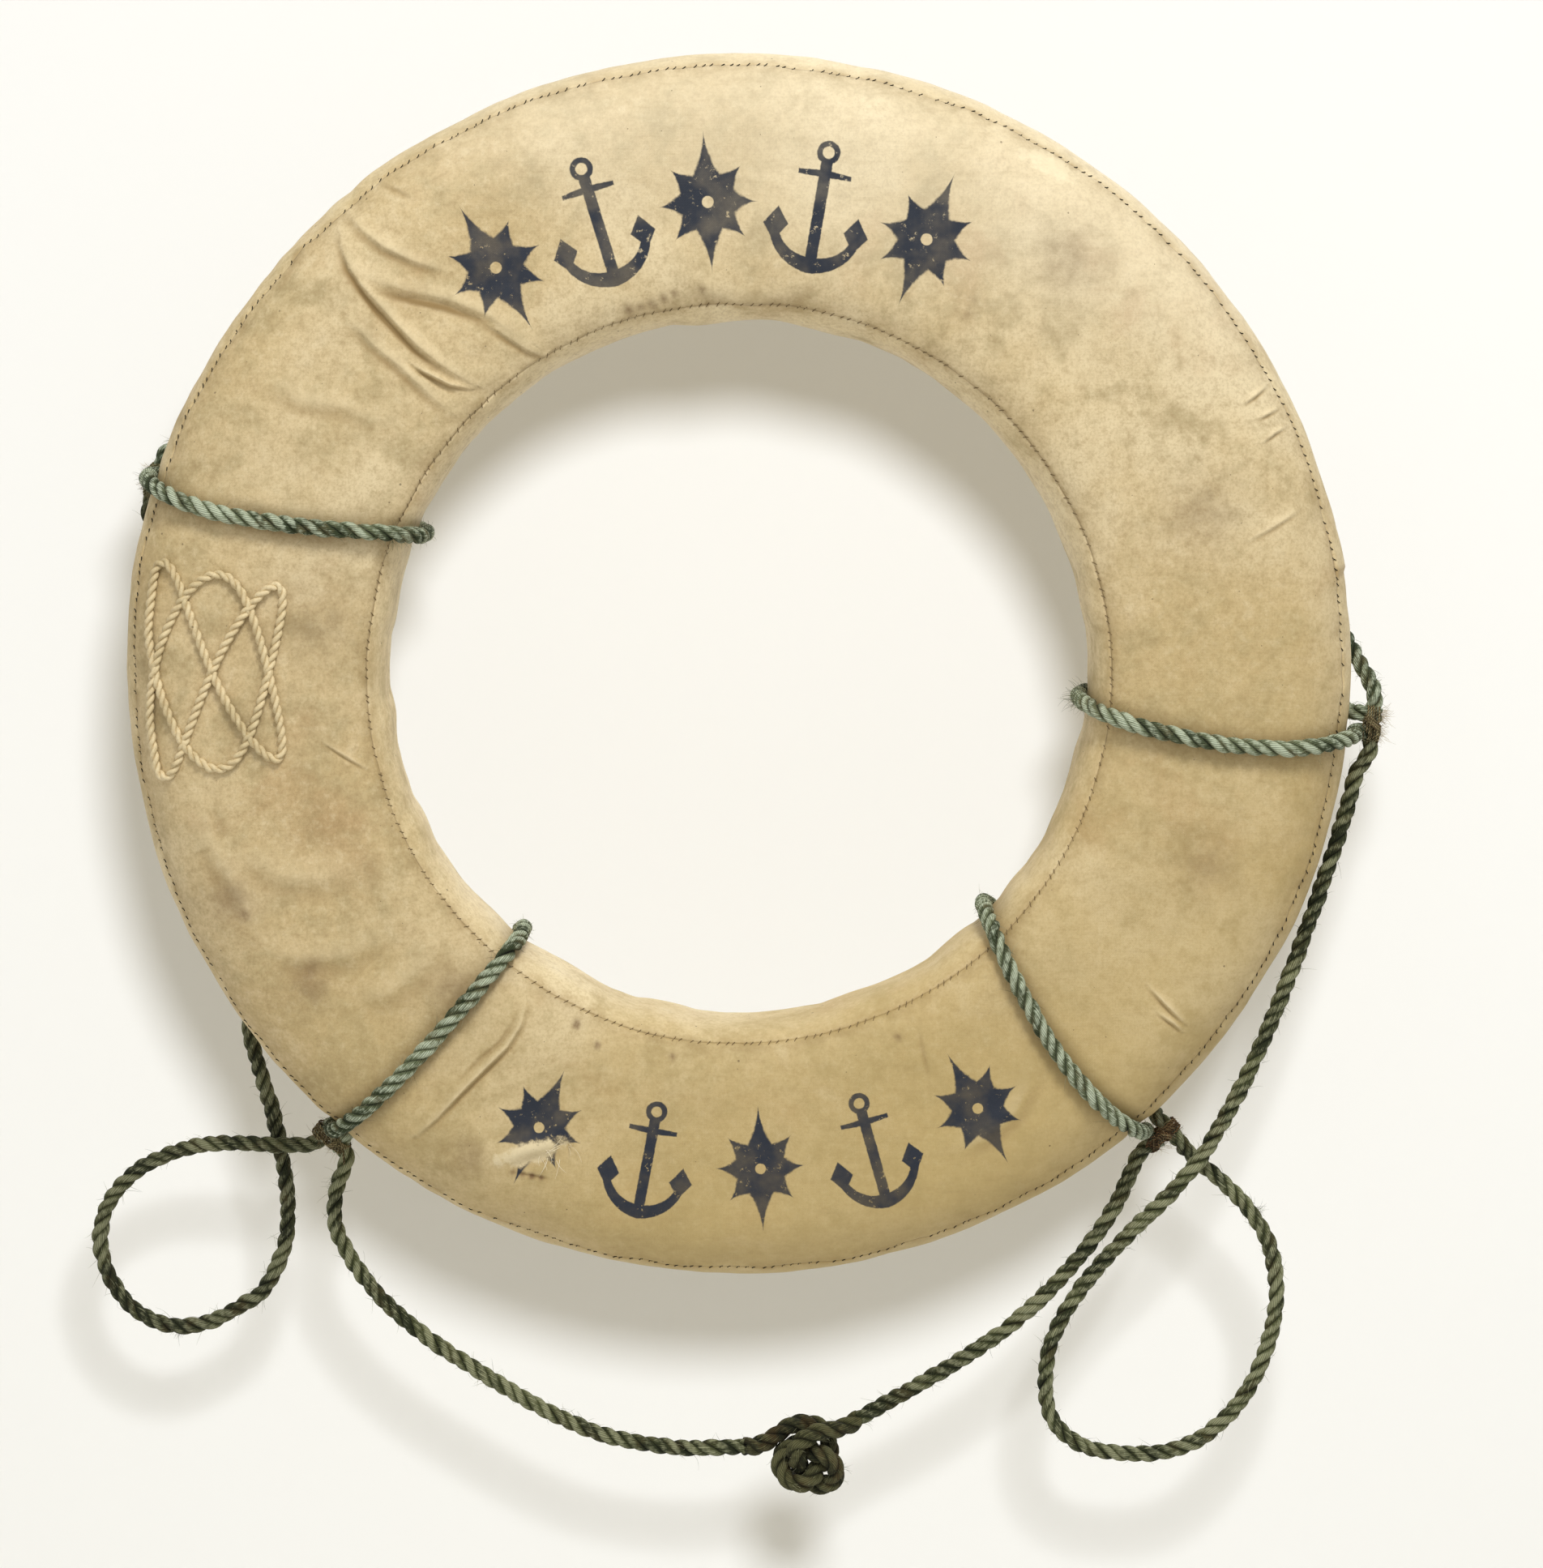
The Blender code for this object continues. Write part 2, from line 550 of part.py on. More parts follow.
clear_scene()
parts = make_collection("life_ring")
helpers = make_collection("life_ring_cutters")
canvas = make_material("painted_canvas", (0.66, 0.56, 0.38), 0.72)
cork = make_material("cork", (0.42, 0.27, 0.15), 0.9)
hardwood = make_material("treenail_wood", (0.36, 0.22, 0.11), 0.7)
rope = make_material("green_rope", (0.10, 0.11, 0.055), 0.9)
faded_rope = make_material("faded_green_rope", (0.33, 0.37, 0.27), 0.9)
twine = make_material("tarred_twine", (0.30, 0.19, 0.08), 0.85)

ring = bpy.data.objects.new("ring_centre", None)
ring.location = (0, 0, -HOLE_RADIUS)
ring.rotation_euler = (math.radians(90), 0, 0)
parts.objects.link(ring)

add_covers()
add_cork_body()
add_bands()
add_grab_line()
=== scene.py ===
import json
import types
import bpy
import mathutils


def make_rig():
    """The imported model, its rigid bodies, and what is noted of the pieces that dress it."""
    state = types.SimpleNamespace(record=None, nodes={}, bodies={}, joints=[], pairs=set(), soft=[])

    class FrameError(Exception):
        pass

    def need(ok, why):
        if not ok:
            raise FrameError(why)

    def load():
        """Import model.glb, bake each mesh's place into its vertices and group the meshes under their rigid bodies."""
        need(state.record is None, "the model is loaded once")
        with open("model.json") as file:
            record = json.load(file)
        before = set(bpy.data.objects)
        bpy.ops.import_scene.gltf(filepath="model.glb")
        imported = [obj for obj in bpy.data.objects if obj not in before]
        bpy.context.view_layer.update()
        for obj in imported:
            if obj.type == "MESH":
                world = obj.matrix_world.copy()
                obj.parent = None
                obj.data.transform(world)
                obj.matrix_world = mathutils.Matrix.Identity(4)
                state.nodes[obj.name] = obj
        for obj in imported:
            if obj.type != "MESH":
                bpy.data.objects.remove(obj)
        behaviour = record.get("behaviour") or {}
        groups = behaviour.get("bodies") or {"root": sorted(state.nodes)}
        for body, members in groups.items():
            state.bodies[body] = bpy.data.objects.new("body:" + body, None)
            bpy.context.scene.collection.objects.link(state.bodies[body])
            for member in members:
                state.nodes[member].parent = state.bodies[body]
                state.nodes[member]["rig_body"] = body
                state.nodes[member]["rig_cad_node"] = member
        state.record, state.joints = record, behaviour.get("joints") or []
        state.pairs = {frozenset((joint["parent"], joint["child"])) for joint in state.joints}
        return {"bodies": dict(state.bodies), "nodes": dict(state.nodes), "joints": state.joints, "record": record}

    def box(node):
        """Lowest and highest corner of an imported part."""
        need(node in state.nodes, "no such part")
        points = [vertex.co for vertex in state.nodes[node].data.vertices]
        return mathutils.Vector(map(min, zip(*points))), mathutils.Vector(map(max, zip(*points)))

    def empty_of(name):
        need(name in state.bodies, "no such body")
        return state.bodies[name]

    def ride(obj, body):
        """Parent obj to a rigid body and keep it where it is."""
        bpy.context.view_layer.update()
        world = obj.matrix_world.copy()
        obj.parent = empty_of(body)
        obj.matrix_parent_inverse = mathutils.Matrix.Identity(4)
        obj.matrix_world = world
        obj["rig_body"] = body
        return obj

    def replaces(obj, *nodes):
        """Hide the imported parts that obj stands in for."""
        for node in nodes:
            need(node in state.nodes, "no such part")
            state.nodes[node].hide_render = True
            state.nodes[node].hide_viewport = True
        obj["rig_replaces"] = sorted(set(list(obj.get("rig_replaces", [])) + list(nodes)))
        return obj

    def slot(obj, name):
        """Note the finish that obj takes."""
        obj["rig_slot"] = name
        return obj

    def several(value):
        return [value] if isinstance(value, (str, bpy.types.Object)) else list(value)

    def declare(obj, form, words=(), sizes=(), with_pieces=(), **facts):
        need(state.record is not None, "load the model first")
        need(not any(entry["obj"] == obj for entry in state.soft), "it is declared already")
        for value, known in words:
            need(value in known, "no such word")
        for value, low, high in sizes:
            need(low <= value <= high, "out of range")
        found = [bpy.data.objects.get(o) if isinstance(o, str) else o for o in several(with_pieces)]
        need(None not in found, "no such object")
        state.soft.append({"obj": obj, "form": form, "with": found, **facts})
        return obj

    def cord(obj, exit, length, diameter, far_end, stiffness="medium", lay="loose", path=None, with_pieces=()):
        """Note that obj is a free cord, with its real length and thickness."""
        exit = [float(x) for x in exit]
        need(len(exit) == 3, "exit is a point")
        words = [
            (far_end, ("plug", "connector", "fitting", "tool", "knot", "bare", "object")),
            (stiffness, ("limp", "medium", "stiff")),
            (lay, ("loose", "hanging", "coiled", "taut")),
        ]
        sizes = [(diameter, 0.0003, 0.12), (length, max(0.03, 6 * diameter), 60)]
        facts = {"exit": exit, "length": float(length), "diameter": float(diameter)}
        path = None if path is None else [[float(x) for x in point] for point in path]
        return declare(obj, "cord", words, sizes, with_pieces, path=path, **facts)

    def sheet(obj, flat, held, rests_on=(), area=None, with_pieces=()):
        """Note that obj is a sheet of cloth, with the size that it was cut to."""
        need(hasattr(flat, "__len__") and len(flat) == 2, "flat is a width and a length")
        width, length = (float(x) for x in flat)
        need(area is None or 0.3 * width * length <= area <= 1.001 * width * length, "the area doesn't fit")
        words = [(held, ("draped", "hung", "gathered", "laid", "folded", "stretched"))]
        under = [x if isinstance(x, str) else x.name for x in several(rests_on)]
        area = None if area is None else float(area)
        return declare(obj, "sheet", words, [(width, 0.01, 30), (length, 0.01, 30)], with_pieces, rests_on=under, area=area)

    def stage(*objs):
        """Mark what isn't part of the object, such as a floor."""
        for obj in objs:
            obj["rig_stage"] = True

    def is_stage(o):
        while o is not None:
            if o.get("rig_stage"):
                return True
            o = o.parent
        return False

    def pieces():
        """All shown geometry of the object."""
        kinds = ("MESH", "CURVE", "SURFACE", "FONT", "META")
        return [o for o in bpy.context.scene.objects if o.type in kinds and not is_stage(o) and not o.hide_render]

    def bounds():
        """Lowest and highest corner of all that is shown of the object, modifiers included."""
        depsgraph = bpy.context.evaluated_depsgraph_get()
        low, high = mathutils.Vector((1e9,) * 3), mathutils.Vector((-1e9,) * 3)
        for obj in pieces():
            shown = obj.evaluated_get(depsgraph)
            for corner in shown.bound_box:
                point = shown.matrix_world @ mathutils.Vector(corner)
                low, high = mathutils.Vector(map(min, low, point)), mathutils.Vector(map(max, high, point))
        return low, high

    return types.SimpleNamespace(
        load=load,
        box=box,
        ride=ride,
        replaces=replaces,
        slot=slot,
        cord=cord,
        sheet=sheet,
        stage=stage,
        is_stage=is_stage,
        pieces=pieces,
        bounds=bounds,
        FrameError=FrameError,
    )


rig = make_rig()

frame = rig.load()

import json
import math
import random

import bmesh
import bpy
import numpy as np
from mathutils import Vector, kdtree, noise
from mathutils.bvhtree import BVHTree

# Life ring of cork under sewn canvas, with a hemp grab line. Metres, +Z up, the front faces -Y.
# Ring places are given as an angle in degrees, anticlockwise from the right as seen from the front,
# a distance from the ring's axis and a distance in front of its mid-plane.
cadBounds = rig.bounds()
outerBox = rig.box("cover_outer_band")

ring = {
    "outerRadius": (outerBox[1].x - outerBox[0].x) / 2,
    "centreZ": (outerBox[0].z + outerBox[1].z) / 2,
    "halfDepth": -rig.box("cover_front")[0].y,
    "flatWidth": 0.056,
    "outerPower": 2.2,  # roundness of the shoulders, 2 is an ellipse
    "innerPower": 3.2,
    "outerSeamLean": 44.0,  # lean of the surface where each seam runs
    "innerSeamLean": 46.0,
}
ring["holeRadius"] = -ring["centreZ"]
ring["midRadius"] = (ring["outerRadius"] + ring["holeRadius"]) / 2
ring["shoulder"] = (ring["outerRadius"] - ring["holeRadius"] - ring["flatWidth"]) / 2

rope = {
    "diameter": 0.0105,
    "pitch": 0.029,  # one full turn of a strand
    "strands": 3,
    "spacing": 0.0016,  # between a strand's points
    "uneven": 0.35,
    "sides": 5,  # bevel resolution of a strand
    "fitGap": 0.0003,
    "tailBend": 0.006,
    "tailGap": 0.0007,
}
rope["standOff"] = rope["diameter"] / 2 + rope["fitGap"]

twine = {
    "diameter": 0.0015,
    "lay": 0.0042,  # one full turn of its two strands
    "spacing": 0.0006,
    "pitch": 0.0016,  # from one turn of a seizing to the next
    "turns": 5,
    "crossing": 3,  # turns between the rope's two ends
    "crossingLean": 0.0035,
    "gap": 0.0002,
    "loose": 0.08,
    "slip": 0.0006,
    "tailStep": 0.0022,  # the end left loose, and how it droops
    "tailDroop": 0.00035,
}

# Each band: angles at the outer and inner edge, bow of its front pass, and lean of its ends' seizing
bands = {
    "upperLeft": {"node": "upper_left", "outer": 162.5, "inner": 156.1, "bow": 2.5, "seat": 35.0},
    "right": {"node": "right", "outer": -4.8, "inner": -4.7, "bow": -2.4, "seat": 0.0},
    "lowerLeft": {"node": "lower_left", "outer": 229.2, "inner": 230.3, "bow": 0.6, "seat": 12.0},
    "lowerRight": {"node": "lower_right", "outer": 312.2, "inner": 316.0, "bow": -3.2, "seat": 0.0},
}

# Grab line behind the rim: ring angle, and lean of the canvas that it lies against
topRoute = [
    (156.5, -41), (151.0, -45), (140.0, -46), (120.0, -46), (95.0, -46), (70.0, -46), (45.0, -46),
    (22.0, -46), (10.0, -43), (4.5, -32),
]
leftRimRoute = [
    (169.0, -43), (175.0, -47), (184.0, -49), (192.0, -49), (199.0, -48), (205.0, -45), (210.2, -39),
    (214.5, -30),
]
leftSplit = (216.0, -25)
# Grab line hanging free: ring angle, metres outside the rim, metres in front of the mid-plane
leftLoopRoute = [
    (217.2, 0.0085, -0.021), (219.3, 0.015, -0.022), (221.9, 0.024, -0.026), (224.0, 0.032, -0.029),
    (226.3, 0.044, -0.031), (228.3, 0.056, -0.033), (230.4, 0.072, -0.034), (232.0, 0.092, -0.034),
    (232.6, 0.109, -0.034), (232.8, 0.127, -0.034), (232.1, 0.144, -0.034), (231.1, 0.164, -0.034),
    (229.5, 0.179, -0.034), (227.2, 0.187, -0.034), (224.6, 0.184, -0.034), (222.1, 0.171, -0.034),
    (220.6, 0.151, -0.033), (220.1, 0.125, -0.031), (220.6, 0.1, -0.028), (222.1, 0.074, -0.023),
    (224.4, 0.053, -0.018), (226.6, 0.038, -0.0155),
]
bottomLeftRoute = [
    (232.2, 0.034, -0.015), (233.0, 0.046, -0.014), (234.3, 0.058, -0.013), (236.6, 0.069, -0.013),
    (239.9, 0.08, -0.013), (244.6, 0.09, -0.012), (249.7, 0.098, -0.011), (255.2, 0.109, -0.01),
    (260.0, 0.117, -0.009), (265.4, 0.119, -0.008),
]
bottomRightRoute = [
    (284.0, 0.09, -0.005), (288.3, 0.08, -0.004), (293.2, 0.069, -0.003), (297.9, 0.056, -0.002),
    (302.3, 0.043, -0.001), (305.7, 0.031, 0.0),
]
rightRoute = [
    (350.5, 0.011, 0.0), (346.2, 0.0095, 0.0), (339.9, 0.009, 0.0), (333.7, 0.0125, 0.0),
    (327.7, 0.019, 0.001), (322.4, 0.027, 0.003), (317.0, 0.036, 0.005), (312.9, 0.043, 0.007),
    (308.7, 0.048, 0.006), (304.6, 0.053, 0.003), (299.6, 0.065, 0.001), (295.5, 0.085, 0.0),
    (293.3, 0.11, 0.0), (292.6, 0.135, 0.0), (293.6, 0.158, 0.0), (296.7, 0.179, 0.0),
    (300.1, 0.19, 0.0), (304.1, 0.184, 0.0), (307.5, 0.167, 0.0), (310.5, 0.143, 0.0),
    (312.7, 0.112, -0.001), (313.3, 0.08, -0.004), (313.0, 0.052, -0.007), (312.8, 0.036, -0.005),
]
knot = {
    "place": (275.1, 0.128, -0.007),
    "midRadius": 0.0130,
    "lobe": 0.0062,
    "halfHeight": 0.0064,
    "cut": 50.0,
    "turn": 74.0,
    "steps": 26,
    "girth": 1.16,  # pulled tight, the turns press into each other
    # metres right of, above and in front of the knot's middle
    "wayIn": [
        (-0.042, 0.009, -0.001), (-0.034, 0.009, -0.003), (-0.025, 0.013, -0.005),
        (-0.016, 0.0195, -0.006), (-0.006, 0.023, -0.0062), (0.005, 0.021, -0.0066),
    ],
    "wayOut": [
        (0.005, 0.0205, 0.0066), (0.014, 0.0215, 0.005), (0.024, 0.024, 0.002), (0.031, 0.0275, 0.0),
    ],
}


# Places on the ring

def ringPoint(angle, radius, forward):
    turn = math.radians(angle)
    return Vector((radius * math.cos(turn), -forward, ring["centreZ"] + radius * math.sin(turn)))


def sectionPoint(side, lean, standOff=0.0):
    # distance from the axis and distance in front, on the outer (1) or inner (-1) shoulder
    turn = math.radians(abs(lean))
    power = ring["outerPower"] if side > 0 else ring["innerPower"]
    if abs(lean) == 90:
        across, forward = 0.0, 1.0
    else:
        ratio = (math.tan(turn) * ring["halfDepth"] / ring["shoulder"]) ** (1 / (power - 1))
        across = (1 + ratio**power) ** (-1 / power)
        forward = ratio * across
    width = ring["flatWidth"] / 2 + ring["shoulder"] * across + standOff * math.cos(turn)
    height = ring["halfDepth"] * forward + standOff * math.sin(turn)
    return ring["midRadius"] + side * width, math.copysign(height, lean)


def againstCanvas(angle, lean):
    return ringPoint(angle, *sectionPoint(1, lean, rope["standOff"]))


def beyondRim(angle, outside, forward):
    return ringPoint(angle, ring["outerRadius"] + outside, forward)


def smoothPath(points, spacing):
    # even points on a centripetal Catmull-Rom curve through the given ones
    ends = [2 * points[0] - points[1], *points, 2 * points[-1] - points[-2]]
    fine = []
    for a, b, c, d in zip(ends, ends[1:], ends[2:], ends[3:]):
        tb = (b - a).length ** 0.5
        tc = tb + (c - b).length ** 0.5
        td = tc + (d - c).length ** 0.5
        for i in range(12):
            t = tb + (tc - tb) * i / 12
            ab = a.lerp(b, t / tb)
            bc = b.lerp(c, (t - tb) / (tc - tb))
            cd = c.lerp(d, (t - tc) / (td - tc))
            abc, bcd = ab.lerp(bc, t / tc), bc.lerp(cd, (t - tb) / (td - tb))
            fine.append(abc.lerp(bcd, (t - tb) / (tc - tb)))
    fine.append(points[-1].copy())
    return evenPath(fine, spacing)


def evenPath(fine, spacing):
    line = np.array([tuple(p) for p in fine])
    reach = np.concatenate([[0.0], np.cumsum(np.linalg.norm(np.diff(line, axis=0), axis=1))])
    wanted = np.linspace(0.0, reach[-1], max(2, round(reach[-1] / spacing)) + 1)
    even = np.stack([np.interp(wanted, reach, line[:, i]) for i in range(3)], axis=1)
    return [Vector(p) for p in even]


def pathLength(points):
    return sum((b - a).length for a, b in zip(points, points[1:]))


def seatPoint(band, outward, forward, along):
    lean = math.radians(-band["seat"])
    radius, height = sectionPoint(1, -band["seat"])
    radius += outward * math.cos(lean) - forward * math.sin(lean)
    height += outward * math.sin(lean) + forward * math.cos(lean)
    turn = math.radians(band["outer"])
    beside = Vector((-math.sin(turn), 0, math.cos(turn)))
    return ringPoint(band["outer"], radius, height) + along * beside


# Sizes of a band's two straight ends, and of the twine round them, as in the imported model
seizing = {"length": 0.0078, "spacing": rope["diameter"] + rope["tailGap"]}
seizing["tailLength"] = seizing["length"] + twine["diameter"]
seizing["tailEnd"] = rope["standOff"] + rope["tailBend"] + seizing["tailLength"]
seizing["start"] = seizing["tailEnd"] - seizing["length"] - twine["diameter"] / 2


def sideTip(band, side):
    reach = seizing["spacing"] / 2 + rope["diameter"] + 2 * twine["gap"] + twine["diameter"]
    reach += rope["fitGap"]
    return seatPoint(band, seizing["start"] + seizing["length"] / 2, 0, side * reach)


def endTip(band, side):
    reach = seizing["tailEnd"] + rope["fitGap"] + rope["diameter"] / 2
    return seatPoint(band, reach, 0, side * seizing["spacing"] / 2)


# Camera, light and stage

camera = {
    "distance": 2.611,
    "pitch": 5.3,  # degrees above the ring's axis
    "frameHeight": 0.9797,  # what the picture's height covers at the ring
    "sensor": 24.0,
    "shift": (0.0207, -0.0725),
}


def addObject(name, data):
    obj = bpy.data.objects.new(name, data)
    bpy.context.scene.collection.objects.link(obj)
    return obj


def addCamera():
    data = bpy.data.cameras.new("photoCamera")
    data.sensor_fit = "VERTICAL"
    data.sensor_height = camera["sensor"]
    data.lens = camera["sensor"] * camera["distance"] / camera["frameHeight"]
    data.shift_x, data.shift_y = camera["shift"]
    obj = addObject("photoCamera", data)
    pitch = math.radians(camera["pitch"])
    away, up = camera["distance"] * math.cos(pitch), camera["distance"] * math.sin(pitch)
    obj.location = (0, -away, ring["centreZ"] + up)
    obj.rotation_euler = (math.radians(90) - pitch, 0, 0)
    bpy.context.scene.camera = obj


white = (1.0, 1.0, 1.0)
lamps = {
    "key": {"place": (0.45, -1.75, 2.05), "size": 0.85, "power": 60.0, "colour": white},
    "fill": {"place": (-1.4, -2.8, 0.2), "size": 2.4, "power": 15.0, "colour": white},
    "back": {"place": (0.7, 2.3, 1.3), "size": 1.8, "power": 24.0, "colour": white},
    "wallKey": {"place": (0.15, -2.6, 0.54), "size": 0.36, "power": 66.0, "colour": (0.84, 0.88, 1.0)},
}
room = {
    "light": {"Color": (1.0, 0.975, 0.92, 1), "Strength": 0.52},
    "seen": {"Color": (1.0, 0.995, 0.98, 1), "Strength": 0.97},
}
stage = {
    "wall": (0, 0.29, 0.6),  # leaves room for the ropes when they swing back
    "wallColour": (0.86, 0.84, 0.76, 1),
    "floor": (0, -2.0, -1.6),
    "floorColour": (0.86, 0.855, 0.84, 1),
    "size": 6.0,
    "roughness": 0.9,
}


def addLamps():
    for name, lamp in lamps.items():
        data = bpy.data.lights.new(name, "AREA")
        data.shape = "DISK"
        data.size = lamp["size"]
        data.energy = lamp["power"]
        data.color = lamp["colour"]
        obj = addObject(name, data)
        obj.location = lamp["place"]
        aim = Vector((0, 0, ring["centreZ"])) - obj.location
        obj.rotation_euler = aim.to_track_quat("-Z", "Y").to_euler()


# Shader helpers

class Tree:
    # short calls for the nodes of one material or group
    def __init__(self, nodeTree):
        self.tree = nodeTree

    def node(self, kind, links=None, **settings):
        made = self.tree.nodes.new(kind)
        for key, value in settings.items():
            setattr(made, key, value)
        for socket, value in (links or {}).items():
            self.plug(value, made.inputs[socket])
        return made

    def plug(self, value, socket):
        if isinstance(value, bpy.types.NodeSocket):
            self.tree.links.new(value, socket)
        elif value is not None:
            socket.default_value = value

    def math(self, kind, *values, clamp=False):
        made = self.node("ShaderNodeMath", operation=kind, use_clamp=clamp)
        for value, socket in zip(values, made.inputs):
            self.plug(value, socket)
        return made.outputs[0]

    def plus(self, *values):
        return self.math("ADD", *values)

    def minus(self, *values):
        return self.math("SUBTRACT", *values)

    def times(self, *values, clamp=False):
        return self.math("MULTIPLY", *values, clamp=clamp)

    def objectPlace(self):
        return self.node("ShaderNodeTexCoord").outputs["Object"]

    def stretched(self, place, *scale):
        return self.node("ShaderNodeMapping", {"Vector": place, "Scale": scale}).outputs[0]

    def attribute(self, name):
        return self.node("ShaderNodeAttribute", attribute_name=name).outputs["Fac"]

    def noise(self, place, scale, detail=2.0, roughness=0.5, distortion=0.0):
        return self.node("ShaderNodeTexNoise", {
            "Vector": place, "Scale": scale, "Detail": detail, "Roughness": roughness,
            "Distortion": distortion,
        }).outputs["Fac"]

    def remap(self, value, low, high, toLow=0.0, toHigh=1.0):
        return self.node("ShaderNodeMapRange", {
            "Value": value, "From Min": low, "From Max": high, "To Min": toLow, "To Max": toHigh,
        }, interpolation_type="SMOOTHSTEP").outputs["Result"]

    def blend(self, factor, a, b, kind="MIX"):
        made = self.node("ShaderNodeMix", data_type="RGBA", blend_type=kind)
        self.plug(factor, made.inputs[0])
        self.plug(a, made.inputs[6])
        self.plug(b, made.inputs[7])
        return made.outputs[2]

    def bump(self, height, distance, strength=1.0, normal=None):
        made = self.node(
            "ShaderNodeBump", {"Height": height, "Distance": distance, "Strength": strength})
        if normal is not None:
            self.plug(normal, made.inputs["Normal"])
        return made.outputs["Normal"]


def newMaterial(name):
    material = bpy.data.materials.new(name)
    material.use_nodes = True
    tree = Tree(material.node_tree)
    return material, tree, material.node_tree.nodes["Principled BSDF"]


def newGroup(name, inputs, outputs):
    # inputs with their default values, and outputs, of which only "Colour" isn't a single value
    group = bpy.data.node_groups.new(name, "ShaderNodeTree")
    for label, value in inputs.items():
        kind = "NodeSocketColor" if isinstance(value, tuple) else "NodeSocketFloat"
        group.interface.new_socket(label, in_out="INPUT", socket_type=kind).default_value = value
    for label in outputs:
        kind = "NodeSocketColor" if label == "Colour" else "NodeSocketFloat"
        group.interface.new_socket(label, in_out="OUTPUT", socket_type=kind)
    tree = Tree(group)
    return group, tree, tree.node("NodeGroupInput").outputs, tree.node("NodeGroupOutput").inputs


def useGroup(tree, group, values):
    made = tree.node("ShaderNodeGroup", node_tree=group)
    for label, value in values.items():
        tree.plug(value, made.inputs[label])
    return made.outputs


def seenRay(tree):
    # 1 for the rays that show the background: from the camera, reflected, or through something clear
    seen = tree.node("ShaderNodeLightPath").outputs
    return tree.math("MAXIMUM", seen["Is Camera Ray"],
                     tree.math("MAXIMUM", seen["Is Glossy Ray"], seen["Is Transmission Ray"]))


def addRoom():
    # soft light from the room, which shows white behind the ring
    world = bpy.data.worlds.new("softRoom")
    world.use_nodes = True
    tree = Tree(world.node_tree)
    shown = seenRay(tree)
    light, seen = (tree.node("ShaderNodeBackground", room[name]) for name in ("light", "seen"))
    mixed = tree.node("ShaderNodeMixShader", {0: shown, 1: light.outputs[0], 2: seen.outputs[0]})
    tree.plug(mixed.outputs[0], world.node_tree.nodes["World Output"].inputs["Surface"])
    bpy.context.scene.world = world


def paintedPlane(name, place, turn, colour, onlySeen):
    # a wall or floor with one side, so that it doesn't hide the ring from behind
    material, tree, shader = newMaterial(name + "Paint")
    shader.inputs["Base Color"].default_value = colour
    shader.inputs["Roughness"].default_value = stage["roughness"]
    solid = tree.minus(1.0, tree.node("ShaderNodeNewGeometry").outputs["Backfacing"])
    if onlySeen:
        solid = tree.times(solid, seenRay(tree))
    clear = tree.node("ShaderNodeBsdfTransparent")
    mixed = tree.node("ShaderNodeMixShader", {0: solid, 1: clear.outputs[0], 2: shader.outputs[0]})
    tree.plug(mixed.outputs[0], material.node_tree.nodes["Material Output"].inputs["Surface"])
    bpy.ops.mesh.primitive_plane_add(size=stage["size"], location=place, rotation=(turn, 0, 0))
    plane = bpy.context.object
    plane.name = name
    plane.data.materials.append(material)
    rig.stage(plane)
    return plane


def lightWallAlone(wall):
    # a lamp of its own, so that the ring's shadow falls close by although the wall stands back
    for name in lamps:
        group = bpy.data.collections.new(name + "Lights")
        group.objects.link(wall)
        if name != "wallKey":
            group.collection_objects[0].light_linking.link_state = "EXCLUDE"
        bpy.data.objects[name].light_linking.receiver_collection = group


addCamera()
addLamps()
addRoom()
lightWallAlone(paintedPlane("wall", stage["wall"], math.radians(90), stage["wallColour"], True))
paintedPlane("floor", stage["floor"], 0.0, stage["floorColour"], False)
bpy.context.scene.view_settings.view_transform = "Standard"
print("camera, lamps and stage are set")


# Hemp

yarn = {
    "count": 26.0,  # round the rope
    "girth": 0.033,
    "wobble": 90.0,
    "wobbled": 5.0,
    "fibre": (2600.0, 260.0),  # waves per metre round the rope and along it
    "streak": (800.0, 70.0),
}


def yarnGroup():
    # yarns along a laid rope, from the rope's own UV map in metres
    group, tree, given, out = newGroup("hempYarn", {
        "Yarns": yarn["count"], "Girth": yarn["girth"],
    }, ["Height", "Groove", "Fibre", "Streak"])
    uv = tree.node("ShaderNodeUVMap", uv_map="along").outputs[0]
    around, along = tree.node("ShaderNodeSeparateXYZ", {0: uv}).outputs[:2]
    turns = tree.math("DIVIDE", around, given["Girth"])
    phase = tree.times(tree.times(turns, given["Yarns"]), 2 * math.pi)
    phase = tree.plus(phase, tree.times(tree.noise(uv, yarn["wobble"]), yarn["wobbled"]))
    wave = tree.math("MULTIPLY_ADD", tree.math("COSINE", phase), 0.5, 0.5)
    strands = []
    for aroundScale, alongScale in (yarn["fibre"], yarn["streak"]):
        stretched = tree.node("ShaderNodeCombineXYZ", {
            0: tree.times(around, aroundScale), 1: tree.times(along, alongScale), 2: 0.0,
        }).outputs[0]
        strands.append(tree.noise(stretched, 1.0, 3.0, 0.6))
    fibre, streak = strands
    tree.plug(tree.math("MULTIPLY_ADD", fibre, 0.45, tree.math("SQRT", wave)), out["Height"])
    tree.plug(tree.minus(1.0, wave), out["Groove"])
    tree.plug(fibre, out["Fibre"])
    tree.plug(streak, out["Streak"])
    return group


hempYarn = yarnGroup()


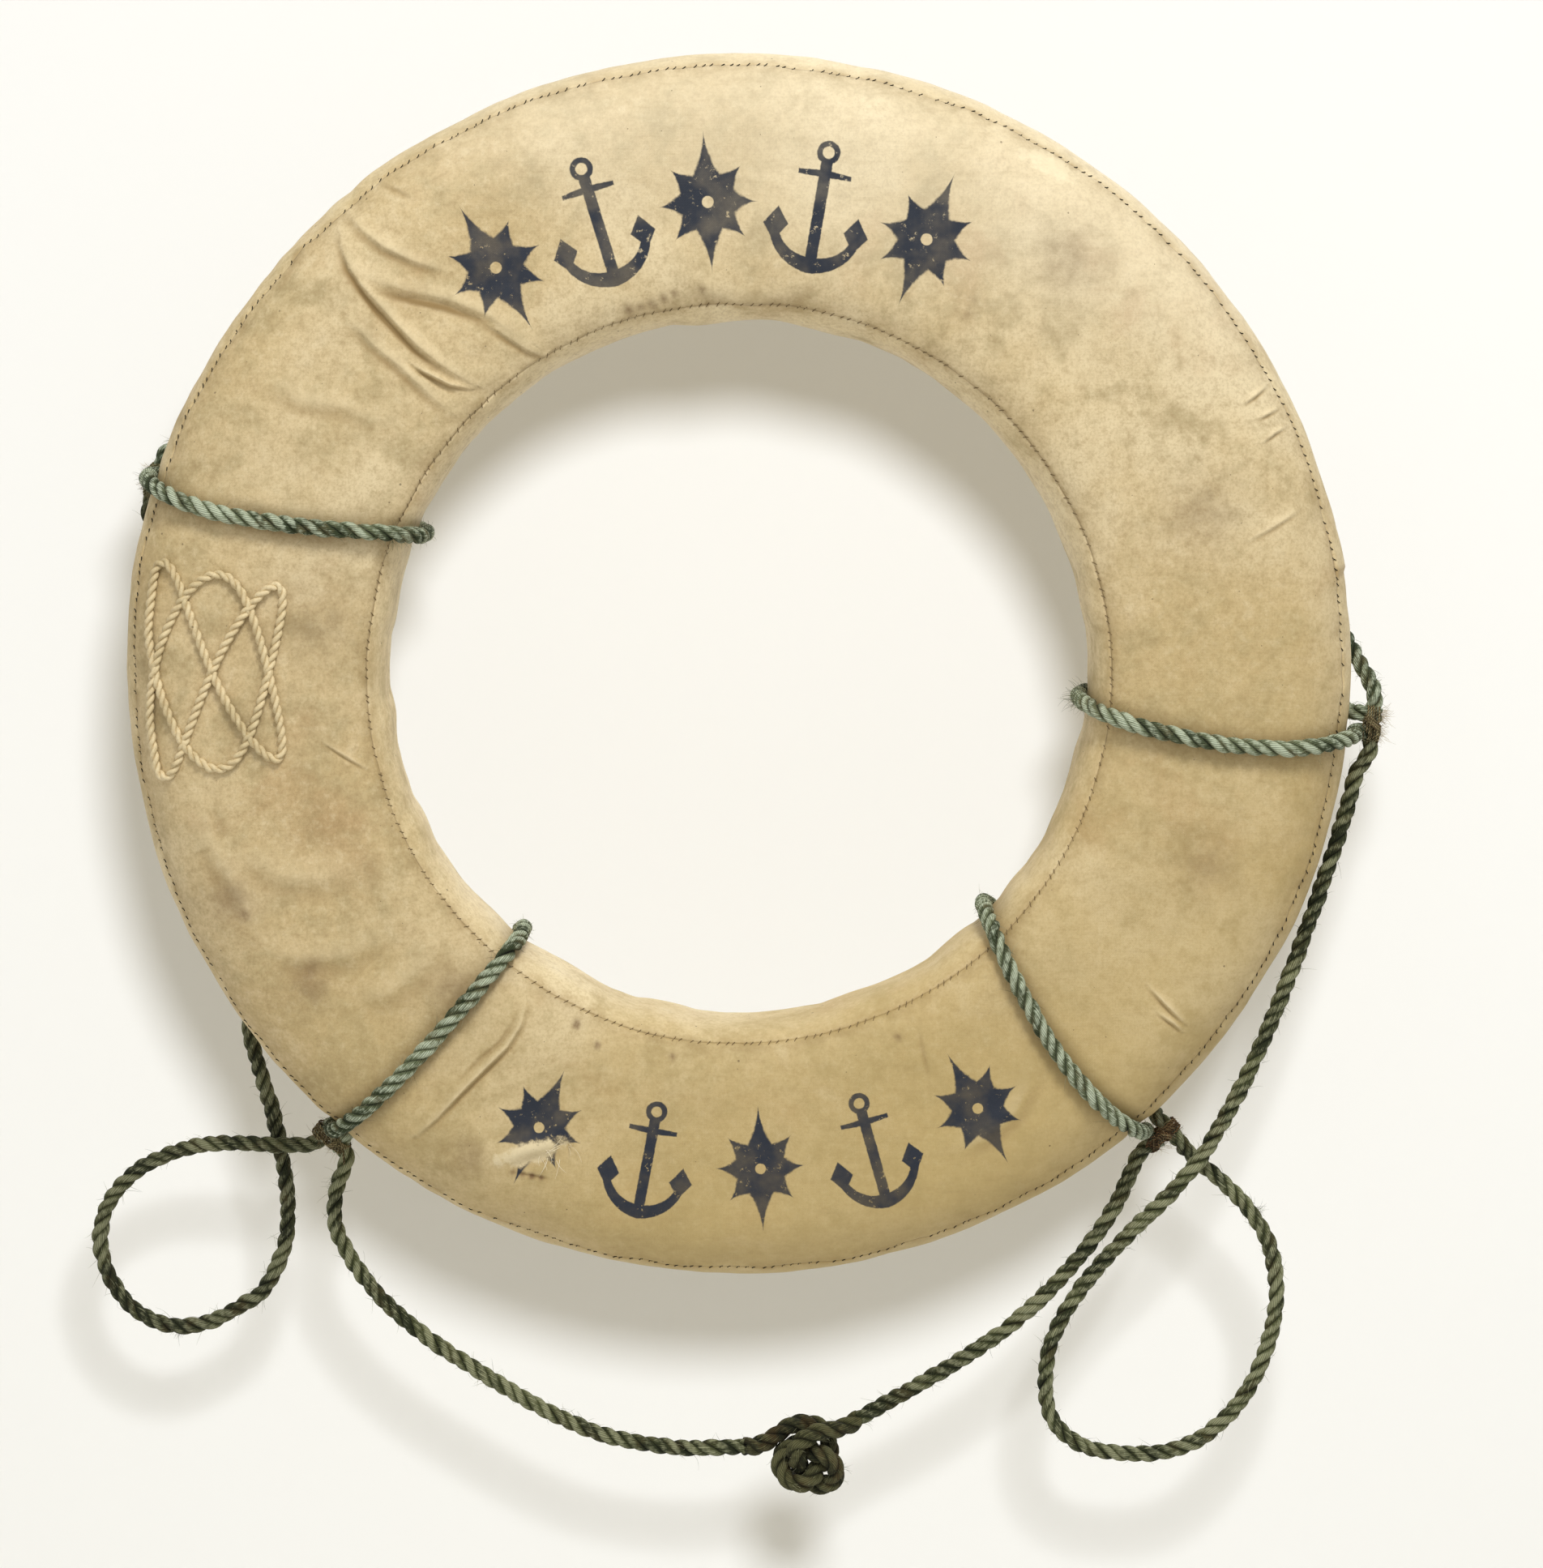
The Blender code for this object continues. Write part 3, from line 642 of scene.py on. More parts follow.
def hempMaterial(name, tones):
    material, tree, shader = newMaterial(name)
    place = tree.objectPlace()
    given = useGroup(tree, hempYarn, {})
    patch = tree.remap(tree.noise(place, 24.0, 3.0), 0.35, 0.68)
    fine = tree.noise(place, 300.0, 3.0, 0.65)
    crown, strandTone = tree.attribute("crown"), tree.attribute("strandTone")
    tone = tree.plus(tree.times(patch, 0.14), tree.times(given["Fibre"], 0.2))
    tone = tree.plus(tone, tree.times(given["Streak"], 0.34))
    tone = tree.plus(tone, tree.times(strandTone, 0.32))
    colour = tree.blend(tree.remap(tone, 0.36, 0.62), (*tones["groove"], 1), (*tones["yarn"], 1))
    aged = tree.remap(tree.noise(place, 70.0, 3.0, 0.6), 0.5, 0.68, 0.0, 0.6)
    colour = tree.blend(aged, colour, (*tones["aged"], 1))
    # wear and painted highlight: the strands' crowns are painted paler where rubbed
    rubbed = tree.plus(crown, tree.times(tree.plus(fine, given["Streak"]), 0.9))
    rubbed = tree.plus(rubbed, tree.times(strandTone, 0.35))
    worn = tree.times(tree.remap(rubbed, 1.75, 2.25), tones["wear"])
    colour = tree.blend(worn, colour, (*tones["rubbed"], 1))
    # painted shade: the colour is darkened in the grooves between the yarns and between the strands
    shade = tree.math("MULTIPLY_ADD", given["Groove"], -0.42, 1.0)
    shade = tree.times(shade, tree.remap(crown, 0.1, 0.75, tones["grooveShade"], 1.0))
    paintedShadeGrey = tree.node("ShaderNodeCombineColor", {0: shade, 1: shade, 2: shade}).outputs[0]
    tree.plug(tree.blend(1.0, colour, paintedShadeGrey, "MULTIPLY"), shader.inputs["Base Color"])
    shader.inputs["Roughness"].default_value = 0.86
    shader.inputs["Specular IOR Level"].default_value = 0.25
    tree.plug(tree.bump(given["Height"], 0.0004, 1.0), shader.inputs["Normal"])
    return material


# Colours in the grooves, on the yarns, where rubbed (wear and a painted highlight on the crowns) and
# where aged, how much is rubbed, and how bright the painted shade leaves the grooves between the strands
hempTones = {
    "faded": {
        "groove": (0.04, 0.055, 0.022), "yarn": (0.185, 0.215, 0.115), "rubbed": (0.6, 0.675, 0.5),
        "aged": (0.16, 0.14, 0.065), "wear": 0.85, "grooveShade": 0.36,
    },
    "olive": {
        "groove": (0.024, 0.03, 0.01), "yarn": (0.112, 0.124, 0.05), "rubbed": (0.4, 0.41, 0.245),
        "aged": (0.095, 0.08, 0.03), "wear": 0.75, "grooveShade": 0.36,
    },
    "dark": {
        "groove": (0.02, 0.024, 0.008), "yarn": (0.1, 0.107, 0.044), "rubbed": (0.33, 0.335, 0.2),
        "aged": (0.08, 0.062, 0.022), "wear": 0.7, "grooveShade": 0.36,
    },
    "knot": {
        "groove": (0.016, 0.018, 0.006), "yarn": (0.06, 0.06, 0.021), "rubbed": (0.17, 0.165, 0.075),
        "aged": (0.085, 0.055, 0.018), "wear": 0.6, "grooveShade": 0.3,
    },
    "oldTwine": {
        "groove": (0.06, 0.045, 0.016), "yarn": (0.24, 0.19, 0.085), "rubbed": (0.5, 0.42, 0.23),
        "aged": (0.12, 0.07, 0.025), "wear": 0.75, "grooveShade": 0.4,
    },
    "oliveTwine": {
        "groove": (0.05, 0.05, 0.018), "yarn": (0.2, 0.185, 0.085), "rubbed": (0.45, 0.41, 0.24),
        "aged": (0.12, 0.09, 0.035), "wear": 0.75, "grooveShade": 0.4,
    },
    "rustTwine": {
        "groove": (0.045, 0.025, 0.01), "yarn": (0.15, 0.085, 0.034), "rubbed": (0.36, 0.22, 0.1),
        "aged": (0.12, 0.05, 0.018), "wear": 0.6, "grooveShade": 0.4,
    },
    "seamThread": {
        "groove": (0.05, 0.04, 0.02), "yarn": (0.13, 0.1, 0.05), "rubbed": (0.25, 0.2, 0.11),
        "aged": (0.08, 0.05, 0.02), "wear": 0.4, "grooveShade": 0.8,
    },
    "paleThread": {
        "groove": (0.3, 0.21, 0.1), "yarn": (0.45, 0.34, 0.17), "rubbed": (0.5, 0.4, 0.22),
        "aged": (0.3, 0.2, 0.09), "wear": 0.4, "grooveShade": 0.9,
    },
}
hemp = {name: hempMaterial(name + "Hemp", tones) for name, tones in hempTones.items()}


# Laid rope

strandShare = {3: 0.2495, 2: 0.27}  # a strand's radius over the rope's diameter, by number of strands
# How a strand wanders and swells where the rope is uneven, and how its tone changes along it:
# waves per metre, and how much
uneven = {"drift": (34, 1.3), "swell": (60, 0.45), "helix": 0.3}
strandTones = {"waves": 52, "broadWaves": 11, "broad": 0.45, "contrast": 0.9}


def finishPiece(name, mesh, material, body, slot, node=None):
    mesh.materials.clear()
    mesh.materials.append(material)
    obj = addObject(name, mesh)
    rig.ride(obj, body)
    if node:
        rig.replaces(obj, node)
    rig.slot(obj, slot)
    return obj


def tubeCurve(name, radius, sides):
    curve = bpy.data.curves.new(name, "CURVE")
    curve.dimensions = "3D"
    curve.bevel_depth = radius
    curve.bevel_resolution = sides
    curve.use_fill_caps = True
    return curve


def addRun(curve, points, girths):
    spline = curve.splines.new("POLY")
    spline.points.add(len(points) - 1)
    spline.points.foreach_set("co", [v for p in points for v in (*p, 1.0)])
    spline.points.foreach_set("radius", girths)


def curveMesh(curve):
    # the curve's tubes as a closed mesh with outward faces
    maker = addObject(curve.name + "Curve", curve)
    bpy.context.view_layer.update()
    graph = bpy.context.evaluated_depsgraph_get()
    mesh = bpy.data.meshes.new_from_object(maker.evaluated_get(graph))
    bpy.data.objects.remove(maker)
    mesh.name = curve.name
    shape = bmesh.new()
    shape.from_mesh(mesh)
    bmesh.ops.remove_doubles(shape, verts=shape.verts, dist=0.000002)
    bmesh.ops.recalc_face_normals(shape, faces=shape.faces)
    shape.to_mesh(mesh)
    shape.free()
    return mesh


def laidRope(name, points, diameter, pitch, strands, sides, startAt=0.0, much=0.0, seed=0):
    # strands wound round the path, right-handed, as one mesh with its own UV map in metres
    tangents = [(b - a).normalized() for a, b in zip(points, points[1:])]
    tangents.append(tangents[-1])
    side = tangents[0].orthogonal().normalized()
    frames, reach = [], 0.0
    (driftWaves, drifted), (swellWaves, swollen) = uneven["drift"], uneven["swell"]
    strandRadius = diameter * strandShare[strands]
    helix = diameter / 2 - strandRadius
    centres, girths = [[] for _ in range(strands)], [[] for _ in range(strands)]
    for i, (point, tangent) in enumerate(zip(points, tangents)):
        if i:
            reach += (point - points[i - 1]).length
            side = (side - side.dot(tangent) * tangent).normalized()
        up = tangent.cross(side)
        frames.append((side.copy(), up, reach))
        for k in range(strands):
            drift = much * noise.noise(Vector((driftWaves * reach, 5.7 * k, 3.1 * seed)))
            swell = much * noise.noise(Vector((swellWaves * reach, 5.7 * k, 9.4 + 3.1 * seed)))
            turn = 2 * math.pi * (k / strands + (reach + startAt) / pitch) + drifted * drift
            arm = helix * (1 + uneven["helix"] * swell)
            centres[k].append(point + arm * (math.cos(turn) * side + math.sin(turn) * up))
            girths[k].append(1 + swollen * swell)
    curve = tubeCurve(name, strandRadius, sides)
    for centre, girth in zip(centres, girths):
        addRun(curve, centre, girth)
    mesh = curveMesh(curve)
    markRope(mesh, points, frames, centres, diameter, startAt, seed)
    for polygon in mesh.polygons:
        polygon.use_smooth = True
    return mesh


def nearestIndex(cloud, wanted):
    tree = kdtree.KDTree(len(cloud))
    for i, p in enumerate(cloud):
        tree.insert(p, i)
    tree.balance()
    return [tree.find(p)[1] for p in wanted]


def withinOne(value):
    return min(1.0, max(0.0, value))


def markRope(mesh, points, frames, centres, diameter, startAt, seed):
    # UV: metres round the rope and along it. "crown": 1 on top of the strands, 0 in the grooves
    # between. "strandTone": how pale each strand is there
    vertices = [v.co.copy() for v in mesh.vertices]
    nearest = nearestIndex(points, vertices)
    nearestOfAll = nearestIndex([p for centre in centres for p in centre], vertices)
    crowns, tones, places = [], [], []
    for v, i, j in zip(vertices, nearest, nearestOfAll):
        side, up, reach = frames[i]
        off = v - points[i]
        turn = math.atan2(off.dot(up), off.dot(side))
        along = reach + off.dot(side.cross(up)) + startAt
        strand, broad = j // len(points), strandTones["broadWaves"] * along
        tone = noise.noise(Vector((strandTones["waves"] * along, 4.3 * strand, seed)))
        tone += strandTones["broad"] * noise.noise(Vector((broad, 7.7, seed)))
        crowns.append(withinOne(off.length / (diameter / 2) * 1.6 - 0.6))
        tones.append(withinOne(0.5 + strandTones["contrast"] * tone))
        places.append((turn * diameter / 2, along))
    for label, values in (("crown", crowns), ("strandTone", tones)):
        mesh.attributes.new(label, "FLOAT", "POINT").data.foreach_set("value", values)
    uv = mesh.uv_layers.new(name="along")
    girth = math.pi * diameter
    for polygon in mesh.polygons:
        first = places[mesh.loops[polygon.loop_start].vertex_index][0]
        for loop in polygon.loop_indices:
            around, along = places[mesh.loops[loop].vertex_index]
            uv.data[loop].uv = (around + girth * round((first - around) / girth), along)


# Loose fibres

hair = {"taper": 0.75, "droop": -0.06, "curl": 0.35, "steps": 4, "tuftCurl": 0.6}
ropeFuzz = {"length": 0.0068, "width": 0.00022, "root": 0.0049, "perMetre": 560}


def threads(name, runs, width, material, body, slot):
    # thin threads, one short tube along each run of points, with how far it tapers
    curve = tubeCurve(name, width / 2, 0)
    for points, taper in runs:
        last = len(points) - 1
        addRun(curve, points, [1.0 - taper * i / last for i in range(last + 1)])
    finishPiece(name, curveMesh(curve), material, body, slot)


def anyWay(draw):
    return Vector((draw.gauss(0, 1), draw.gauss(0, 1), draw.gauss(0, 1)))


def hairRun(draw, place, heading, length, curl=hair["curl"], steps=hair["steps"]):
    bend = anyWay(draw) * curl
    points = [place]
    for _ in range(steps):
        heading = (heading + bend / steps + Vector((0, 0, hair["droop"]))).normalized()
        points.append(points[-1] + heading * length / steps)
    return points, hair["taper"]


def fuzzRuns(draw, points, count):
    # loose fibres that stand out of a rope all along it
    runs = []
    for _ in range(count):
        at = draw.uniform(0, len(points) - 2)
        i = int(at)
        base = points[i].lerp(points[i + 1], at - i)
        tangent = (points[i + 1] - points[i]).normalized()
        side = tangent.orthogonal().normalized()
        turn = draw.uniform(0, 2 * math.pi)
        out = math.cos(turn) * side + math.sin(turn) * tangent.cross(side)
        heading = (out + draw.choice((-1, 1)) * draw.uniform(0.4, 2.0) * tangent).normalized()
        length = ropeFuzz["length"] * draw.uniform(0.35, 1.0) ** 1.8 * draw.choice((1, 1, 1, 1.7))
        runs.append(hairRun(draw, base + out * ropeFuzz["root"], heading, length))
    return runs


def tuftRuns(draw, place, aim, tuft):
    # a bunch of frayed fibres
    runs = []
    for _ in range(tuft["count"]):
        spread = anyWay(draw)
        root = place + spread * tuft["radius"]
        heading = (Vector(aim).normalized() + spread * tuft["spread"]).normalized()
        length = tuft["length"] * draw.uniform(0.4, 1.0)
        runs.append(hairRun(draw, root, heading, length, hair["tuftCurl"]))
    return runs


def fibreMaterial(name, dark, light):
    material, tree, shader = newMaterial(name)
    tone = tree.remap(tree.noise(tree.objectPlace(), 60.0), 0.35, 0.65)
    tree.plug(tree.blend(tone, (*dark, 1), (*light, 1)), shader.inputs["Base Color"])
    shader.inputs["Roughness"].default_value = 0.9
    return material


fibres = {
    "hemp": fibreMaterial("looseHempFibre", (0.08, 0.085, 0.035), (0.36, 0.36, 0.22)),
    "twine": fibreMaterial("looseTwineFibre", (0.16, 0.11, 0.05), (0.46, 0.37, 0.2)),
    "canvas": fibreMaterial("looseCanvasThread", (0.66, 0.56, 0.36), (0.88, 0.8, 0.6)),
}

# Frayed places: share of the rope's length, aim, and the bunch
smallTuft = {"count": 30, "radius": 0.0017, "spread": 0.45, "length": 0.010}
wideTuft = {"count": 60, "radius": 0.0028, "spread": 0.6, "length": 0.0125}
frays = {
    "bandUpperLeft": [(0.47, (0.6, -0.6, -0.8), wideTuft), (0.49, (0.9, 0.2, -0.3), smallTuft)],
    "bandRight": [(0.50, (-0.9, -0.3, 0.5), wideTuft), (0.47, (-0.6, -0.6, 0.6), smallTuft)],
    "grabLineTop": [(0.985, (0.7, -0.3, 0.4), smallTuft), (0.02, (-0.8, -0.3, 0.6), smallTuft)],
    "grabLineBottomLeft": [
        (0.531, (-0.4, -0.5, 0.7), smallTuft), (0.07, (-0.6, -0.5, 0.2), smallTuft),
    ],
    "grabLineBottomRight": [(0.206, (0.2, -0.5, 0.8), smallTuft)],
    "grabLineRight": [(0.904, (0.8, -0.4, 0.4), smallTuft), (0.215, (0.6, -0.5, -0.5), smallTuft)],
    "grabLineLeftLoop": [(0.48, (-0.3, -0.5, -0.9), smallTuft), (0.95, (-0.3, -0.7, 0.6), smallTuft)],
    "joiningKnot": [(0.3, (-0.5, -0.8, -0.4), smallTuft), (0.62, (0.6, -0.8, -0.2), smallTuft)],
}


def hempRope(name, points, tone, body, node, slot, seed, startAt=0.0, girth=1.0):
    mesh = laidRope(name, points, girth * rope["diameter"], rope["pitch"], rope["strands"],
                    rope["sides"], startAt, rope["uneven"], seed)
    obj = finishPiece(name, mesh, hemp[tone], body, slot, node)
    draw = random.Random(seed)
    runs = fuzzRuns(draw, points, round(ropeFuzz["perMetre"] * pathLength(points)))
    for share, aim, tuft in frays.get(name, []):
        runs += tuftRuns(draw, points[round(share * (len(points) - 1))], aim, tuft)
    threads(name + "Fuzz", runs, ropeFuzz["width"], fibres["hemp"], body, slot)
    return obj


# Grab line

def lineRope(name, points, tone, body, node, seed, startAt=0.0, farEnd="object", pieces=()):
    piece = hempRope(name, points, tone, body, node, "line_rope", seed, startAt)
    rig.cord(piece, exit=points[0], length=pathLength(points), diameter=rope["diameter"], far_end=farEnd,
            stiffness="limp", lay="hanging", path=points, with_pieces=pieces)


def ropePath(*points):
    return smoothPath(points, rope["spacing"])


def intoTwine(band, side):
    # the rope's end inside the seizing, beside the band's own end
    outward = seizing["start"] + seizing["length"] / 2
    return seatPoint(band, outward, 0, side * seizing["spacing"] * 0.72)


def intoTail(band, side):
    # the rope's end let into the band's own end
    return seatPoint(band, seizing["tailEnd"] - 0.005, 0, side * seizing["spacing"] / 2)


def topStretch():
    start, end = bands["upperLeft"], bands["right"]
    points = ropePath(intoTwine(start, -1), sideTip(start, -1), *(againstCanvas(*p) for p in topRoute),
                      sideTip(end, 1), intoTwine(end, 1))
    lineRope("grabLineTop", points, "faded", "ring", "grab_line_top", 1)


def leftStretch():
    # one rope in two pieces, because only the loop hangs free of the rim
    start, end = bands["upperLeft"], bands["lowerLeft"]
    points = ropePath(intoTwine(start, 1), sideTip(start, 1), *(againstCanvas(*p) for p in leftRimRoute),
                      *(beyondRim(*p) for p in leftLoopRoute), endTip(end, -1), intoTail(end, -1))
    split = againstCanvas(*leftSplit)
    cut = min(range(len(points)), key=lambda i: (points[i] - split).length)
    lineRope("grabLineLeftRun", points[: cut + 4], "dark", "ring", "grab_line_left_run", 2)
    lineRope("grabLineLeftLoop", points[cut - 1 :], "dark", "left_bight", "grab_line_left_loop", 3,
             startAt=pathLength(points[:cut]))


def rightStretch():
    start, end = bands["right"], bands["lowerRight"]
    points = ropePath(intoTwine(start, -1), sideTip(start, -1), *(beyondRim(*p) for p in rightRoute),
                      endTip(end, 1), intoTail(end, 1))
    lineRope("grabLineRight", points, "olive", "right_bight", "grab_line_right", 4)


def knotPath():
    # an overhand knot: most of a trefoil, with a way in and a way out
    places = [Vector(p) for p in knot["wayIn"]]
    for i in range(knot["steps"] + 1):
        phase = math.radians(720 - knot["cut"] + (2 * knot["cut"] - 720) * i / knot["steps"])
        radius = knot["midRadius"] + knot["lobe"] * math.cos(1.5 * phase)
        turn = math.radians(knot["turn"]) + phase
        height = knot["halfHeight"] * math.sin(1.5 * phase)
        places.append(Vector((radius * math.cos(turn), radius * math.sin(turn), height)))
    places += [Vector(p) for p in knot["wayOut"]]
    middle = beyondRim(*knot["place"])
    return ropePath(*(middle + Vector((p.x, -p.z, p.y)) for p in places))


def bottomStretch():
    start, end = bands["lowerLeft"], bands["lowerRight"]
    tie = knotPath()
    leadIn, leadOut = (tie[1] - tie[0]).normalized(), (tie[-1] - tie[-2]).normalized()
    lead = 2 * rope["diameter"]
    tucked, onward = intoTwine(start, 1), beyondRim(*bottomLeftRoute[0])
    leftHalf = ropePath(tucked, sideTip(start, 1).lerp(tucked.lerp(onward, 0.4), 0.55),
                        *(beyondRim(*p) for p in bottomLeftRoute), tie[0] - leadIn * lead, tie[0])
    rightHalf = ropePath(tie[-1], tie[-1] + leadOut * lead, *(beyondRim(*p) for p in bottomRightRoute),
                         sideTip(end, -1), intoTwine(end, -1))
    body = "bottom_bight"
    tied = hempRope("joiningKnot", tie, "knot", body, "joining_knot", "line_rope", 6,
                    startAt=pathLength(leftHalf), girth=knot["girth"])
    lineRope("grabLineBottomLeft", leftHalf, "olive", body, "grab_line_bottom_left", 5, farEnd="knot",
             pieces=[tied])
    lineRope("grabLineBottomRight", rightHalf, "olive", body, "grab_line_bottom_right", 7,
             startAt=pathLength(leftHalf) + pathLength(tie))


topStretch()
leftStretch()
rightStretch()
bottomStretch()
print("grab line is laid")


# Bands and seizings

def bandTail(band, side):
    along = -side * seizing["spacing"] / 2
    inner = seizing["tailEnd"] - seizing["tailLength"]
    points = [seatPoint(band, seizing["tailEnd"], 0, along), seatPoint(band, inner, 0, along)]
    for turn in (math.radians(degrees) for degrees in (22.5, 45.0, 67.5)):
        outward = rope["standOff"] + rope["tailBend"] * (1 - math.sin(turn))
        points.append(seatPoint(band, outward, side * rope["tailBend"] * (1 - math.cos(turn)), along))
    points.append(seatPoint(band, rope["standOff"], side * rope["tailBend"], along))
    return points


def bandPath(band):
    seat = math.radians(-band["seat"])
    seatRadius, seatHeight = sectionPoint(1, -band["seat"])

    def ahead(lean):
        radius, height = sectionPoint(1, lean)
        return (height - seatHeight) * math.cos(seat) - (radius - seatRadius) * math.sin(seat)

    leans = [9 * i for i in range(-10, 11)]
    lead = rope["tailBend"] + rope["diameter"] / 4
    turn = [(1, lean) for lean in leans if ahead(lean) > lead]
    turn += [(0, 90)] + [(-1, lean) for lean in reversed(leans)] + [(0, -90)]
    turn += [(1, lean) for lean in leans if ahead(lean) < -lead]
    reach = ring["outerRadius"] + rope["standOff"]
    width = reach - (ring["holeRadius"] - rope["standOff"])
    points = []
    for i, (side, lean) in enumerate(turn):
        radius, height = sectionPoint(side, lean, rope["standOff"])
        across = (reach - radius) / width
        angle = band["outer"] + (band["inner"] - band["outer"]) * across
        if height > 0:
            angle += band["bow"] * 4 * across * (1 - across)
        shift = (2 * i / (len(turn) - 1) - 1) * seizing["spacing"] / 2
        points.append(ringPoint(angle + math.degrees(shift / radius), radius, height))
    return ropePath(*bandTail(band, 1), *points, *reversed(bandTail(band, -1)))


def seizingPath(band, seed):
    # turns round both ends, then crossing turns between them, and an end left loose
    roundRadius = rope["diameter"] / 2 + twine["gap"] + twine["diameter"] / 2
    half = seizing["spacing"] / 2
    straight, arc = 2 * half, math.pi * roundRadius
    points = []
    steps = 48  # to a turn
    for i in range(twine["turns"] * steps + 1):
        turns = i / steps
        gone = (turns % 1.0) * 2 * (straight + arc)
        if gone < straight:
            along, forward = gone - half, roundRadius
        elif gone < straight + arc:
            swing = (gone - straight) / roundRadius
            along, forward = half + roundRadius * math.sin(swing), roundRadius * math.cos(swing)
        elif gone < 2 * straight + arc:
            along, forward = half - (gone - straight - arc), -roundRadius
        else:
            swing = (gone - 2 * straight - arc) / roundRadius
            along, forward = -half - roundRadius * math.sin(swing), -roundRadius * math.cos(swing)
        loose = 1 + twine["loose"] * (0.6 + noise.noise(Vector((3.1 * turns, seed, 0.0))))
        slip = twine["slip"] * noise.noise(Vector((2.3 * turns, seed, 5.0)))
        outward = seizing["start"] + turns * twine["pitch"] + slip
        points.append(seatPoint(band, outward, forward * loose, along * loose))
    middle = seizing["start"] + seizing["length"] / 2
    steps = 24
    for i in range(twine["crossing"] * steps + 1):
        turn = 2 * math.pi * (i / steps + 0.5)
        outward = middle + (seizing["length"] / 2 + twine["diameter"]) * math.cos(turn)
        forward = (roundRadius + 1.5 * twine["diameter"]) * math.sin(turn)
        lean = twine["crossingLean"] * math.cos(turn + seed)
        along = (i / steps - twine["crossing"] / 2) * twine["pitch"] + lean
        points.append(seatPoint(band, outward, forward, along))
    draw = random.Random(seed)
    last = points[-1]
    drift = Vector((draw.uniform(-1, 1), -1.0, draw.uniform(-1.5, 0.2))).normalized()
    for i in range(1, 6):
        droop = Vector((0, 0, -twine["tailDroop"] * i * i))
        points.append(last + drift * twine["tailStep"] * i + droop)
    return smoothPath(evenPath(points, 4 * twine["spacing"]), twine["spacing"])


# Which twine each seizing is made of, and where its frayed ends point
lashings = {
    "upperLeft": ("oliveTwine", (-0.9, -0.3, 0.5)),
    "right": ("oldTwine", (0.95, -0.4, -0.1)),
    "lowerLeft": ("oldTwine", (-0.3, -0.8, 0.7)),
    "lowerRight": ("rustTwine", (0.6, -0.6, 0.6)),
}
endTuft = {"count": 60, "radius": 0.0019, "spread": 0.4, "length": 0.0085}
frayWidth = 0.00024


def bandsAndSeizings():
    for seed, (name, band) in enumerate(bands.items()):
        title = name[0].upper() + name[1:]
        hempRope("band" + title, bandPath(band), "faded", "ring", "band_" + band["node"], "band_rope",
                 20 + seed)
        tone, aim = lashings[name]
        path = seizingPath(band, 40 + seed)
        winding = laidRope("seizing" + title, path, twine["diameter"], twine["lay"], 2, 2)
        finishPiece("seizing" + title, winding, hemp[tone], "ring", "twine", "seizing_" + band["node"])
        draw, runs = random.Random(60 + seed), []
        for side in (1, -1):
            end = seatPoint(band, seizing["tailEnd"] - 0.001, 0, side * seizing["spacing"] / 2)
            runs += tuftRuns(draw, end, aim, endTuft)
        runs += tuftRuns(draw, seatPoint(band, seizing["start"], 0.004, 0), aim, wideTuft)
        threads("seizing" + title + "Fray", runs, frayWidth, fibres["twine"], "ring", "twine")


bandsAndSeizings()
print("bands and seizings are made")


# Canvas cover

cloth = {
    "thickness": 0.0016,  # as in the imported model, down to the cork
    "wallRows": 11,  # of the inner wall, against the cork
    "lap": 0.0075,  # how far the bands run on under the panels
    "lapStart": 0.0010,
    "lapDepth": 0.0010,
    "lift": 0.0004,
    "swell": 0.0018,
    "dimple": 0.0010,
    "ripple": 0.0004,
    "pucker": 0.0014,
    "puckerReach": 0.012,
    "slackReach": 0.014,
    "deepest": -0.0012,
    "fold": 1.45,
    "narrowFold": 4.5,  # millimetres, below which the mesh is made finer
    "fineReach": (0.008, 0.0045),
    "hem": 0.0004,  # a panel's turned edge
    "hemPlace": 0.0022,
    "hemWidth": 0.0014,
    "edgeDrop": 0.0003,
    "edgeWidth": 0.0007,
    "underRope": 0.0002,
    "ropeReach": 0.005,
    "seamShade": 0.006,  # how far dirt and painted shade reach from a seam, and painted shade from a rope
    "ropeShade": 0.006,
    "lineEdge": 0.0007,  # the dark line of dirt and painted shade on a band beside a panel's edge
    "lineFade": 0.0005,
}
# Noise that shapes the cloth: waves per metre, and seed
waves = {
    "broad": (9.0, 1), "swell": (14.0, 2), "dimple": (26.0, 3), "ripple": (75.0, 4),
    "gather": (55.0, 5), "fineGather": (130.0, 6), "bulge": (21.0, 7), "fineBulge": (40.0, 8),
}
# Where the cloth ripples more: ring angle, degrees, how much more
crumples = [(130, 10, 1.6), (236, 12, 0.8)]

# Leans counted on round the section: 0 in the hole, 90 on the front, 180 at the rim, 270 on the back
seams = {
    "frontInner": ring["innerSeamLean"],
    "frontOuter": 180 - ring["outerSeamLean"],
    "backOuter": 180 + ring["outerSeamLean"],
    "backInner": 360 - ring["innerSeamLean"],
    "frontInnerAgain": 360 + ring["innerSeamLean"],
}
# How far the front's outer seam wanders towards the rim: ring angle, metres
seamWander = [
    (0, 0.0055), (30, 0.007), (60, 0.0075), (90, 0.007), (120, 0.0078), (150, 0.0085), (180, 0.0085),
    (205, 0.0105), (235, 0.0105), (255, 0.007), (290, 0.005), (330, 0.0045), (360, 0.0055),
]
drawnAlong = (100, 0.004, 176)  # lean where that starts, metres beside the seam, lean where it ends

